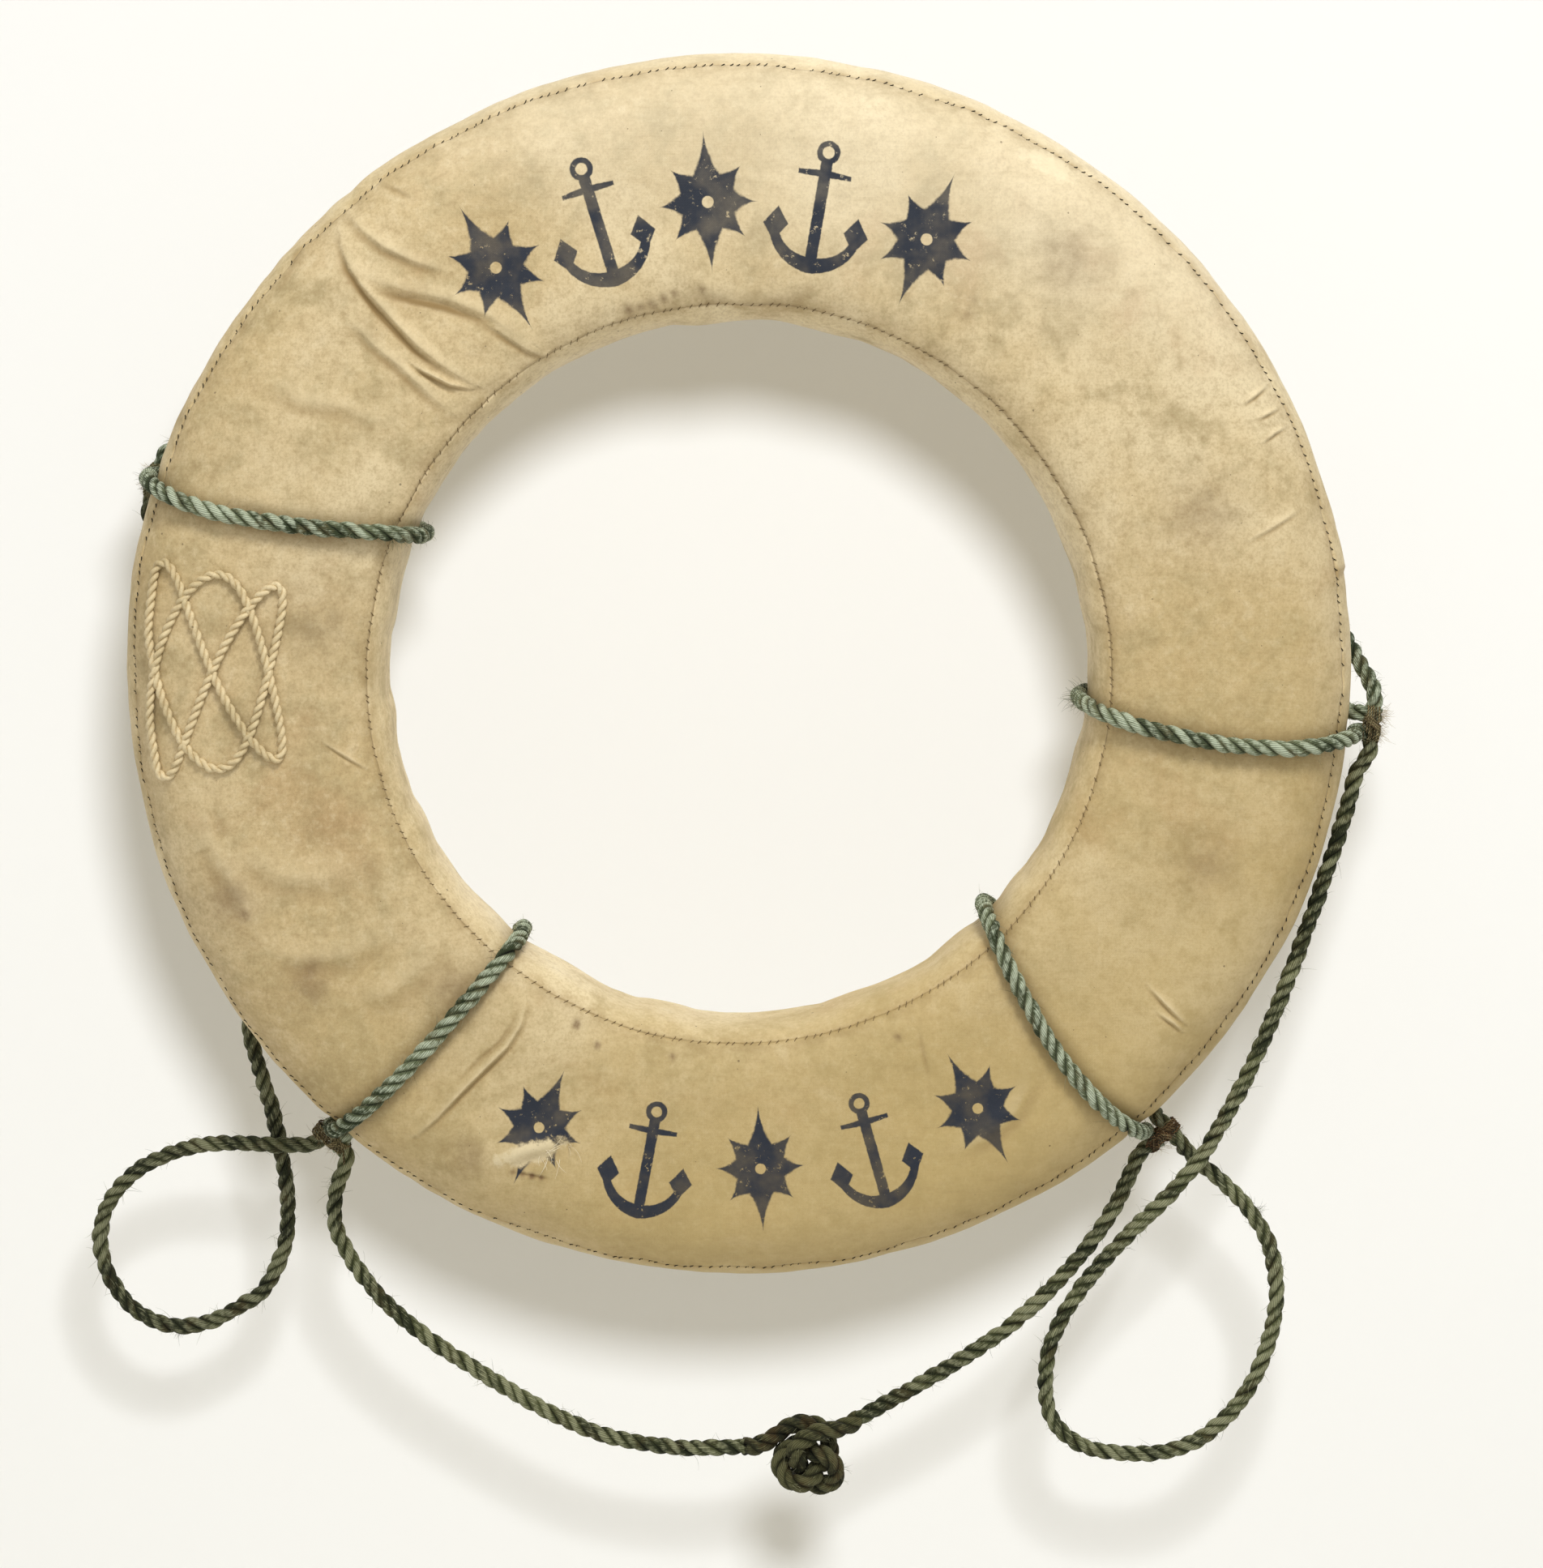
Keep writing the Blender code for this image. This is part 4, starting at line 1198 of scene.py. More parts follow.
# Folds of the front: height and width in millimetres, then ring angle and distance from the axis
folds = [
    (1.9, 4.0, [(132.2, 0.3604), (133.3, 0.3443), (133.6, 0.3308), (133.7, 0.3166), (133.8, 0.2992),
                (133.8, 0.2822), (133.3, 0.2639), (131.9, 0.2415)]),
    (-1.1, 1.8, [(132.7, 0.3610), (133.8, 0.3456), (134.2, 0.3314), (134.6, 0.3158),
                 (134.7, 0.2985), (134.8, 0.2815), (134.2, 0.2635)]),
    (1.5, 5.0, [(132.9, 0.3416), (131.8, 0.3249), (129.9, 0.3086), (127.2, 0.2909), (124.3, 0.2686),
                (121.9, 0.2428)]),
    (-1.0, 2.4, [(133.7, 0.3280), (132.6, 0.3160), (130.7, 0.3020), (128.5, 0.2880),
                 (126.1, 0.2697)]),
    (1.7, 1.8, [(136.0, 0.2743), (135.3, 0.2638), (134.4, 0.2513), (132.8, 0.2410)]),
    (-1.0, 1.4, [(136.4, 0.2806), (136.1, 0.2670), (135.6, 0.2537), (134.6, 0.2433)]),
    (1.2, 3.6, [(130.0, 0.3703), (129.9, 0.3572), (129.3, 0.3401), (127.7, 0.3216),
                (125.5, 0.3052)]),
    (-0.9, 1.6, [(126.1, 0.3704), (125.1, 0.3623), (124.3, 0.3523)]),
    (1.0, 4.0, [(137.1, 0.3230), (137.4, 0.3016), (137.1, 0.2800), (137.2, 0.2571),
                (137.2, 0.2397)]),
    (0.9, 3.0, [(125.5, 0.2679), (124.2, 0.2542), (122.7, 0.2392), (121.0, 0.2301)]),
    (0.9, 1.3, [(188.9, 0.2578), (190.9, 0.2483), (193.9, 0.2359)]),
    (1.5, 9.0, [(199.5, 0.3238), (203.2, 0.3078), (205.6, 0.2877), (206.4, 0.2630)]),
    (1.4, 8.0, [(209.8, 0.3352), (212.7, 0.3209), (215.3, 0.2952), (216.1, 0.2671)]),
    (1.0, 7.0, [(193.1, 0.3386), (197.5, 0.3398), (202.4, 0.3359), (207.9, 0.3359)]),
    (1.1, 8.0, [(220.3, 0.3097), (221.9, 0.2903), (222.2, 0.2645), (221.5, 0.2450)]),
    (2.1, 2.2, [(237.1, 0.2430), (237.9, 0.2540), (237.9, 0.2695), (237.1, 0.2865), (236.3, 0.3062),
                (235.6, 0.3307), (234.9, 0.3474)]),
    (-1.0, 1.6, [(236.2, 0.2443), (237.0, 0.2565), (236.9, 0.2702), (236.0, 0.2851),
                 (235.3, 0.3048)]),
    (2.3, 5.5, [(244.1, 0.3330), (245.9, 0.3224), (248.9, 0.3090)]),
    (-1.1, 1.1, [(245.8, 0.3379), (247.4, 0.3355), (249.2, 0.3335)]),
    (1.2, 1.8, [(322.9, 0.3176), (322.5, 0.3318), (322.1, 0.3488)]),
    (1.0, 1.6, [(321.3, 0.3324), (321.4, 0.3433), (321.3, 0.3504)]),
    (-0.7, 1.5, [(296.9, 0.2457), (296.0, 0.2596), (295.2, 0.2758)]),
    (0.7, 2.0, [(15.2, 0.3224), (15.9, 0.3388), (16.7, 0.3567)]),
    (0.9, 6.0, [(147.7, 0.3398), (147.4, 0.3166), (145.5, 0.2947), (144.3, 0.2689)]),
    (1.0, 7.0, [(160.5, 0.3214), (160.8, 0.2972), (159.9, 0.2699), (157.7, 0.2578)]),
    (0.9, 7.0, [(96.9, 0.2523), (93.8, 0.2362), (87.8, 0.2300), (81.3, 0.2375)]),
    (0.9, 6.0, [(294.6, 0.3237), (298.2, 0.3223), (302.2, 0.3179), (305.8, 0.3066)]),
    (1.0, 1.6, [(28.6, 0.3500), (28.7, 0.3580), (28.9, 0.3680)]),
    (0.9, 1.5, [(26.6, 0.3540), (26.5, 0.3680)]),
    (0.9, 1.6, [(24.3, 0.3500), (24.6, 0.3600), (24.6, 0.3670)]),
]
# Stains of the front: strength, size in millimetres, ring angle, distance from the axis
stains = [
    (0.9, 4.5, 205.7, 0.3382), (0.45, 16, 203.5, 0.3414), (0.5, 14, 215.5, 0.328),
    (0.55, 9, 214.6, 0.321), (0.75, 3.4, 106.6, 0.2352), (0.8, 2.6, 104.8, 0.2343),
    (0.8, 3.0, 103.0, 0.2350), (0.7, 2.6, 101.2, 0.2370), (0.65, 2.4, 99.5, 0.2384),
    (0.6, 2.2, 95.4, 0.2385), (0.4, 5, 57.8, 0.262), (0.35, 4, 58.6, 0.270),
    (1.0, 2.3, 245.0, 0.2379), (1.0, 1.9, 249.0, 0.2445), (1.0, 1.7, 260.1, 0.2394),
    (1.0, 2.0, 293.7, 0.2438), (0.4, 18, 52.0, 0.325), (0.35, 22, 20.0, 0.30),
    (0.35, 20, 338.0, 0.31), (0.4, 16, 228.0, 0.262), (0.3, 26, 172.0, 0.262),
    (0.4, 12, 240.5, 0.342), (0.9, 1.7, 245.5, 0.3378), (1.0, 1.9, 246.5, 0.3366),
    (1.0, 2.0, 247.5, 0.3353), (0.9, 1.6, 248.5, 0.3342),
]
# Flakes off the front's paint, each a width and a line, and the loose threads of a tear:
# ring angle, distance from the axis
torn = {
    "flakes": [
        (0.0095, [(243.6, 0.3350), (245.6, 0.3262), (247.4, 0.3180), (249.2, 0.3080)]),
        (0.0085, [(61.6, 0.3630), (60.0, 0.3655), (58.0, 0.3650), (56.2, 0.3665)]),
    ],
    "threadsFrom": (248.9, 0.3160),
    "threads": 14,
    "length": 0.016,
    "width": 0.00036,
}
# Where the outer strip's two ends are lapped, and how strong and wide the painted shade along the lapped edge is
bandJoint = {"angle": 9.7, "height": 0.0014, "lap": 0.024, "fade": 0.002, "shade": 1.3, "line": 0.35}

# Each strip: its seams, its paint, distance between its rows, steps round the ring, how much is
# turned in under the next strip, the flat size and area of its cut, and its share of puckers at its
# two seams
strips = {
    "coverFront": {
        "node": "cover_front", "seams": ("frontInner", "frontOuter"), "paint": "paintedCanvas",
        "spacing": 0.0024, "steps": 800, "tuck": 0.0, "flat": (0.79, 0.79), "area": 0.30,
        "gathered": (0.35, 1.0), "folds": folds,
    },
    "coverOuterBand": {
        "node": "cover_outer_band", "seams": ("frontOuter", "backOuter"),
        "paint": "paintedCanvasBands", "spacing": 0.003, "steps": 800, "tuck": cloth["lap"],
        "flat": (0.108, 2.42), "gathered": (1.0, 1.0), "joint": bandJoint,
    },
    "coverInnerBand": {
        "node": "cover_inner_band", "seams": ("backInner", "frontInnerAgain"),
        "paint": "paintedCanvasHole", "spacing": 0.0026, "steps": 640, "tuck": cloth["lap"],
        "flat": (0.11, 1.38), "gathered": (0.35, 0.35), "slack": 0.0030,
    },
    "coverBack": {
        "node": "cover_back", "seams": ("backOuter", "backInner"), "paint": "paintedCanvasBack",
        "spacing": 0.0034, "steps": 560, "tuck": 0.0, "flat": (0.79, 0.79), "area": 0.30,
        "gathered": (1.0, 0.35),
    },
}


def sectionLine():
    # the whole way round the section, twice, so that a strip can run on past its start
    turns = [-90 + i * 0.1 for i in range(3601)]
    turns.insert(1801, 90.0)  # the level front has a corner at each side
    places = [sectionPoint(-1, max(-90, t)) for t in turns[:1801]]
    places += [sectionPoint(1, 180 - t if t < 269.95 else -90) for t in turns[1801:]]
    line = np.array(places + places)
    return {
        "turn": np.array(turns + [t + 360 for t in turns]),
        "radius": line[:, 0],
        "front": line[:, 1],
        "reach": np.concatenate([[0.0], np.cumsum(np.hypot(*np.diff(line, axis=0).T))]),
    }


section = sectionLine()


def reachAt(turn):
    return float(np.interp(turn, section["turn"], section["reach"]))


def onSection(reach, depth=0.0):
    # distance from the axis and in front, at a place along the section and that far outside the cloth
    before, here, after = (
        np.stack([np.interp(reach + d, section["reach"], section[k]) for k in ("radius", "front")])
        for d in (-0.0005, 0.0, 0.0005)
    )
    along = (after - before) / np.hypot(*(after - before))
    return here[0] - depth * along[1], here[1] + depth * along[0]


def wandered(reach, angle):
    # the front's outer seam isn't quite round, and draws the cloth beside it along
    seam, (start, beside, end) = reachAt(seams["frontOuter"]), drawnAlong
    share = np.interp(reach, [reachAt(start), seam - beside, seam + beside, reachAt(end)], [0, 1, 1, 0])
    return reach + share * np.interp(np.degrees(angle) % 360, *zip(*seamWander))


bandPoints = [p for band in bands.values() for p in bandPath(band)]
bandTree = kdtree.KDTree(len(bandPoints))
for i, p in enumerate(bandPoints):
    bandTree.insert(p, i)
bandTree.balance()


def strokeDistance(x, z, path):
    # distance to a stroke, below nought on its lower side, and how far along it that is, from 0 to 1
    turned = [(math.radians(angle), radius) for angle, radius in path]
    corners = [np.array((r * math.cos(turn), r * math.sin(turn))) for turn, r in turned]
    lengths = [np.linalg.norm(b - a) for a, b in zip(corners, corners[1:])]
    best, along, done = np.full(x.shape, 9.0), np.zeros(x.shape), 0.0
    upper = np.ones(x.shape)
    for a, b, length in zip(corners, corners[1:], lengths):
        step = (b - a) / length
        px, pz = x - a[0], z - a[1]
        t = np.clip(px * step[0] + pz * step[1], 0, length)
        away = np.hypot(px - t * step[0], pz - t * step[1])
        near = away < best
        over = (step[0] * pz - step[1] * px) * math.copysign(1, step[0] + 0.3 * step[1])
        best = np.where(near, away, best)
        upper = np.where(near, np.sign(over), upper)
        along = np.where(near, (done + t) / sum(lengths), along)
        done += length
    return best * upper, along


def bell(value, width):
    return np.exp(-((value / width) ** 2))


def clothNoise(points, kind):
    scale, seed = waves[kind]
    offset = Vector((seed * 17.3, seed * 5.1, seed * 9.7))
    return np.array([noise.noise(p * scale + offset) for p in points])


def sectionRows(start, end, tuck, spacing):
    # places along a strip's section, close together at its two seams
    if tuck:
        edge = [-tuck, -0.0030, -0.0012, -0.0005, 0.0002, 0.0008, 0.0016, 0.0028, 0.0045]
    else:
        edge = [0.0, 0.0004, 0.0009, 0.0017, 0.0029, 0.0045]
    inner = edge.pop()
    count = round((end - start - 2 * inner) / spacing) + 1
    middle = np.linspace(start + inner, end - inner, count)
    return [*(start + e for e in edge), *middle, *(end - e for e in reversed(edge))]


def spunStrip(rows, steps, folded):
    # a closed shell: the cloth's outside, and an inner wall against the cork
    shape = bmesh.new()
    depthLayer = shape.verts.layers.float.new("depth")
    reachLayer = shape.verts.layers.float.new("reach")
    wall = np.linspace(rows[-1], rows[0], cloth["wallRows"])
    for reach, depth in [(r, 0.0) for r in rows] + [(r, -cloth["thickness"]) for r in wall]:
        radius, front = onSection(reach, depth)
        vertex = shape.verts.new((radius, -front, ring["centreZ"]))
        vertex[depthLayer], vertex[reachLayer] = depth, reach
    shape.verts.ensure_lookup_table()
    for a, b in zip(shape.verts[:], shape.verts[1:] + shape.verts[:1]):
        shape.edges.new((a, b))
    bmesh.ops.spin(shape, geom=shape.verts[:] + shape.edges[:], cent=(0, 0, ring["centreZ"]),
                   axis=(0, -1, 0), angle=2 * math.pi, steps=steps // 4, use_merge=True)
    around = [e for e in shape.edges
              if abs(e.verts[0][reachLayer] - e.verts[1][reachLayer]) < 1e-6
              and abs(e.verts[0][depthLayer] - e.verts[1][depthLayer]) < 1e-6]
    bmesh.ops.subdivide_edges(shape, edges=around, cuts=3, use_grid_fill=True)
    for width in cloth["fineReach"] if folded else ():  # finer mesh along the narrow folds
        x = np.array([v.co.x for v in shape.verts])
        z = np.array([v.co.z - ring["centreZ"] for v in shape.verts])
        near = np.zeros(x.shape, bool)
        for height, size, path in folded:
            if size < cloth["narrowFold"]:
                near |= np.abs(strokeDistance(x, z, path)[0]) < width
        for vertex, isNear in zip(shape.verts, near):
            vertex.tag = bool(isNear) and vertex[depthLayer] > -1e-6
        edges = [e for e in shape.edges if e.verts[0].tag and e.verts[1].tag]
        bmesh.ops.subdivide_edges(shape, edges=edges, cuts=1, use_grid_fill=True)
    bmesh.ops.recalc_face_normals(shape, faces=shape.faces)
    depth = np.array([v[depthLayer] for v in shape.verts])
    reach = np.array([v[reachLayer] for v in shape.verts])
    angle = np.array([math.atan2(v.co.z - ring["centreZ"], v.co.x) for v in shape.verts])
    radius, front = onSection(wandered(reach, angle), depth)
    for vertex, r, f, a in zip(shape.verts, radius, front, angle):
        vertex.co = (r * math.cos(a), -f, ring["centreZ"] + r * math.sin(a))
    shape.normal_update()
    return shape, depth, reach, angle


def unevenCloth(points, angle, reach, ends, strip):
    # how far stretched cloth stands off the section: swells, dimples, ripples, puckers at its seams
    start, end = ends
    inside = np.minimum(reach - start, end - reach)
    degrees = np.degrees(angle) % 360
    lifted = np.full(reach.shape, cloth["lift"])
    swell = clothNoise(points, "broad") * 0.5 + 0.5 * np.abs(clothNoise(points, "swell"))
    lifted += cloth["swell"] * swell
    lifted += cloth["dimple"] * clothNoise(points, "dimple")
    crumpled = 1
    for middle, width, much in crumples:
        crumpled = crumpled + much * bell(degrees - middle, width)
    lifted += cloth["ripple"] * clothNoise(points, "ripple") * crumpled
    unrolled = [Vector((0.2 * r, math.cos(a) * ring["midRadius"], math.sin(a) * ring["midRadius"]))
                for a, r in zip(angle, reach)]
    gather = clothNoise(unrolled, "gather") + 0.6 * clothNoise(unrolled, "fineGather")
    gather *= np.where(reach - start < end - reach, *strip["gathered"])
    lifted += cloth["pucker"] * gather * bell(np.maximum(inside, 0), cloth["puckerReach"])
    if "slack" in strip:  # the strip in the hole bulges
        bulge = clothNoise(unrolled, "bulge") + 0.2 * clothNoise(points, "fineBulge")
        bulge = np.maximum(bulge, -0.15) * (1 + 1.3 * bell(degrees - 180, 20))
        lifted += strip["slack"] * bulge * np.clip(inside / cloth["slackReach"], 0, 1)
    return lifted


def addFolds(lifted, crease, x, z, folded):
    for height, size, path in folded:
        away, share = strokeDistance(x, z, path)
        width = size / 1000
        fading = np.sin(np.pi * np.clip(share, 0.03, 0.97)) ** 0.6
        if height > 0:  # a fold leans down over a hollow
            ridge = np.where(away > 0, bell(away, 1.25 * width), bell(away, 0.5 * width))
            hollow = bell(away + 1.15 * width, 0.6 * width)
            lifted += cloth["fold"] * height / 1000 * (ridge - 0.35 * hollow) * fading
            # painted light on the fold's ridge and painted shade in its hollow
            crease += min(1.0, height) * (ridge - 1.2 * hollow) * fading * min(1.0, 4.0 / size)
        else:  # a wrinkle is pressed in
            ridge = bell(away, width) * fading
            lifted += height / 1000 * ridge
            # painted shade in the wrinkle
            crease += height * ridge


def addJoint(lifted, crease, angle, inside, joint):
    # one end of the strip lies over the other
    past = (np.degrees(angle) - joint["angle"] + 180) % 360 - 180
    covered = 1 - np.radians(past) * ring["outerRadius"] / joint["lap"]
    share = np.where(past > 0, np.clip(covered, 0, 1), 0)
    lifted += joint["height"] * share**0.5 * np.clip(inside / joint["fade"], 0, 1)
    # painted shade: a dark line where the strip's end lies over the other
    crease -= joint["shade"] * bell(past, joint["line"])


def settled(lifted, inside, pressed, tuck):
    # laps and hems along the seams, and where the bands press the cloth down
    if tuck:
        lapShare = np.clip((cloth["lapStart"] - inside) / cloth["lapStart"], 0, 1)
        lifted = lifted * (1 - lapShare) - cloth["lapDepth"] * lapShare
    else:
        hem = cloth["hem"] * bell(inside - cloth["hemPlace"], cloth["hemWidth"])
        lifted = lifted + (hem - cloth["edgeDrop"] * bell(inside, cloth["edgeWidth"]))
    hold = bell(np.maximum(pressed, 0), cloth["ropeReach"])
    lifted = lifted * (1 - hold) - cloth["underRope"] * hold
    if tuck:
        return np.maximum(lifted, cloth["deepest"])
    # a panel stays above the bands' laps
    limits = [-0.4 * cloth["lapDepth"], cloth["deepest"]]
    floor = np.interp(inside, [cloth["lap"], 2 * cloth["lap"]], limits)
    return np.maximum(lifted, floor)


def stained(x, z):
    stain = np.zeros(x.shape)
    for strength, size, angle, radius in stains:
        turn = math.radians(angle)
        away = np.hypot(x - radius * math.cos(turn), z - radius * math.sin(turn))
        stain = np.maximum(stain, strength * bell(away, size / 1000))
    return stain


def flaked(x, z):
    flake = np.zeros(x.shape)
    for width, path in torn["flakes"]:
        away, share = strokeDistance(x, z, path)
        fading = np.sin(np.pi * np.clip(share, 0.12, 0.9)) ** 0.4
        flake = np.maximum(flake, bell(away, width) * fading)
    return flake


def unrollCloth(shape, tuck):
    # UV in metres: along and across a band, or as a panel was cut
    uv = shape.loops.layers.uv.new("cloth")
    reachLayer = shape.verts.layers.float["reach"]
    for face in shape.faces:
        face.smooth = True
        base = math.atan2(face.verts[0].co.z - ring["centreZ"], face.verts[0].co.x)
        for loop in face.loops:
            place = loop.vert.co
            if tuck:
                turn = math.atan2(place.z - ring["centreZ"], place.x)
                turn += 2 * math.pi * round((base - turn) / (2 * math.pi))
                loop[uv].uv = (turn * ring["midRadius"], loop.vert[reachLayer])
            else:
                loop[uv].uv = (place.x, place.z)


def coverStrip(name, strip):
    start, end = ends = [reachAt(seams[seam]) for seam in strip["seams"]]
    tuck, folded = strip["tuck"], strip.get("folds", ())
    rows = sectionRows(start, end, tuck, strip["spacing"])
    shape, depth, reach, angle = spunStrip(rows, strip["steps"], folded)
    points = [v.co.copy() for v in shape.verts]
    x = np.array([p.x for p in points])
    z = np.array([p.z - ring["centreZ"] for p in points])
    inside = np.minimum(reach - start, end - reach)  # from the nearer seam, negative in the lap
    pressed = np.array([bandTree.find(p)[2] for p in points]) - rope["diameter"] / 2

    lifted, crease = unevenCloth(points, angle, reach, ends, strip), np.zeros(x.shape)
    addFolds(lifted, crease, x, z, folded)
    if "joint" in strip:
        addJoint(lifted, crease, angle, inside, strip["joint"])
    for vertex, move, under in zip(shape.verts, settled(lifted, inside, pressed, tuck), depth):
        if under > -1e-6:
            vertex.co += vertex.normal * float(move)

    none = np.zeros(x.shape)
    marksAndPaintedLightAndShade = {
        # darker near the seams: dirt and painted shade
        "seam": bell(np.maximum(inside, 0), cloth["seamShade"]),
        "seamLine": np.clip((cloth["lineEdge"] - inside) / cloth["lineFade"], 0, 1) if tuck else none,
        "crease": crease,
        "stain": stained(x, z) if folded else none,
        "flake": flaked(x, z) if folded else none,
        # painted shade beside and under the rope bands
        "underRope": bell(np.maximum(pressed, 0), cloth["ropeShade"]),
    }
    for label, values in marksAndPaintedLightAndShade.items():
        layer = shape.verts.layers.float.new(label)
        for vertex, value in zip(shape.verts, values):
            vertex[layer] = float(value)
    unrollCloth(shape, tuck)
    mesh = bpy.data.meshes.new(name)
    shape.to_mesh(mesh)
    shape.free()
    obj = finishPiece(name, mesh, canvasMaterial(strip["paint"]), "ring", "canvas", strip["node"])
    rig.sheet(obj, flat=strip["flat"], held="stretched", rests_on=["cork_front_1", "cork_back_1"],
             area=strip.get("area"))
    print(name, sum(len(p.vertices) - 2 for p in mesh.polygons), "triangles")


# Paints of the cover: light, middle and dirty tone, which also serves the painted shade, how dirty,
# how dark the line of dirt and painted shade beside a panel's edge is, and whether the ornament is
# painted on
panelTones = ((0.72, 0.6, 0.375), (0.54, 0.405, 0.2), (0.28, 0.185, 0.07))
bandTones = ((0.78, 0.65, 0.395), (0.62, 0.475, 0.235), (0.34, 0.225, 0.085))
# painted light: the hole's canvas takes a lighter copy of the cover's paint
holeTonesPaintedLighter = ((0.84, 0.715, 0.46), (0.68, 0.535, 0.29), (0.36, 0.24, 0.095))
cordTones = ((0.77, 0.655, 0.42), (0.64, 0.51, 0.29), (0.38, 0.27, 0.12))
paints = {
    "paintedCanvas": {"tones": panelTones, "dirtiness": 0.48, "lineShade": 0.9, "ornament": True},
    "paintedCanvasBack": {"tones": panelTones, "dirtiness": 0.7, "lineShade": 0.9, "ornament": False},
    "paintedCanvasBands": {"tones": bandTones, "dirtiness": 0.45, "lineShade": 0.9, "ornament": False},
    "paintedCanvasHole": {"tones": holeTonesPaintedLighter, "dirtiness": 0.35, "lineShade": 0.5, "ornament": False},
    "paintedCord": {"tones": cordTones, "dirtiness": 0.35, "lineShade": 0.9, "ornament": False},
}
# Colours that age brings to them, and the painted shade and painted light laid over them
agedTones = {
    "olive": (0.42, 0.355, 0.19, 1),
    "rust": (0.40, 0.225, 0.09, 1),
    # painted shade towards the bottom left, and painted light towards the top right
    "lowPaintedShade": (0.47, 0.345, 0.13, 1),  # towards the bottom
    "highPaintedLight": (0.8, 0.71, 0.52, 1),  # at the top
    "specks": (0.07, 0.045, 0.02, 1),
    "stain": (0.17, 0.10, 0.04, 1),
    "bare": (0.87, 0.77, 0.53, 1),  # canvas where the paint is off
    # dirt and painted shade in the crevice beside a panel's edge
    "seamLine": (0.085, 0.05, 0.02, 1),
}
threadsPerMetre = 1400.0


def agedPaintGroup():
    # weathered oil paint on canvas, with painted light and shade: colour, roughness and height,
    # from Object coordinates
    group, tree, given, out = newGroup("agedPaint", {
        "Light": (0.70, 0.57, 0.33, 1), "Mid": (0.56, 0.41, 0.2, 1), "Dirt": (0.33, 0.215, 0.085, 1),
        "Dirtiness": 0.5, "Seam": 0.0, "Crease": 0.0, "Stain": 0.0,
    }, ["Colour", "Roughness", "Height"])
    light, dirtAndShadeTone, place = given["Light"], given["Dirt"], tree.objectPlace()
    broad = tree.noise(place, 4.5, 4.0, 0.55, 0.5)
    patch = tree.noise(place, 16.0, 5.0, 0.62, 0.8)
    rust = tree.noise(place, 11.0, 5.0, 0.6, 0.4)
    cloud = tree.noise(place, 60.0, 4.0, 0.6)
    mottle = tree.noise(place, 170.0, 4.0, 0.7)
    grain = tree.noise(place, 520.0, 3.0, 0.7)
    streak = tree.noise(tree.stretched(place, 34.0, 34.0, 260.0), 1.0, 3.0, 0.6)
    worn = tree.plus(tree.times(patch, 0.6), tree.times(cloud, 0.4))
    olive = tree.plus(tree.times(broad, -0.5), worn)
    across, _, upward = tree.node("ShaderNodeSeparateXYZ", {0: place}).outputs
    # how far towards the bottom left and the top right, for the painted shade and painted light
    low = tree.plus(upward, tree.math("MULTIPLY_ADD", across, -0.45, tree.times(broad, 0.2)))
    high = tree.math("MULTIPLY_ADD", across, 0.25, upward)
    dots = tree.node("ShaderNodeTexVoronoi", {"Vector": place, "Scale": 150.0, "Randomness": 1.0})
    pick = tree.node("ShaderNodeSeparateColor", {0: dots.outputs["Color"]}).outputs
    size = tree.math("MULTIPLY_ADD", pick[1], 0.1, 0.03)
    within = tree.math("LESS_THAN", dots.outputs["Distance"], size)
    speck = tree.times(within, tree.remap(pick[0], 0.8, 0.9))
    stain = tree.times(given["Stain"], tree.remap(cloud, 0.3, 0.6, 0.5, 1.2), clamp=True)
    layers = [  # where each lies over the ones before it, and its colour
        (tree.times(tree.remap(worn, 0.5, 0.66), given["Dirtiness"]), dirtAndShadeTone),
        (tree.times(tree.remap(olive, 0.2, 0.42), 0.4), agedTones["olive"]),
        (tree.times(tree.remap(rust, 0.56, 0.74), 0.4), agedTones["rust"]),
        (tree.times(tree.remap(worn, 0.46, 0.32), 0.6), light),
        (tree.remap(mottle, 0.46, 0.72, 0.0, 0.34), dirtAndShadeTone),
        (tree.remap(mottle, 0.5, 0.3, 0.0, 0.36), light),
        (tree.remap(grain, 0.42, 0.7, 0.0, 0.3), dirtAndShadeTone),
        # painted shade towards the bottom left, painted light towards the top right
        (tree.remap(low, -0.1, -0.6, 0.0, 0.74), agedTones["lowPaintedShade"]),
        (tree.remap(high, 0.0, 0.11, 0.0, 0.34), agedTones["highPaintedLight"]),
        (tree.times(speck, 0.6), agedTones["specks"]),
        # dirt and painted shade along the seams
        (tree.times(given["Seam"], tree.remap(cloud, 0.3, 0.62, 0.0, 0.4)), dirtAndShadeTone),
        (tree.remap(streak, 0.5, 0.75, 0.0, 0.12), dirtAndShadeTone),
        # painted shade in the folds' hollows and the wrinkles, painted light on the folds' ridges
        (tree.times(given["Crease"], -0.6, clamp=True), dirtAndShadeTone),
        (tree.times(given["Crease"], 0.45, clamp=True), light),
        (stain, agedTones["stain"]),
    ]
    colour = tree.blend(tree.remap(broad, 0.32, 0.66), given["Mid"], light)
    for mask, tone in layers:
        colour = tree.blend(mask, colour, tone)
    tree.plug(colour, out["Colour"])
    tree.plug(tree.remap(worn, 0.3, 0.75, 0.5, 0.72), out["Roughness"])
    tree.plug(tree.plus(tree.times(grain, 0.4), tree.times(cloud, 0.6)), out["Height"])
    return group


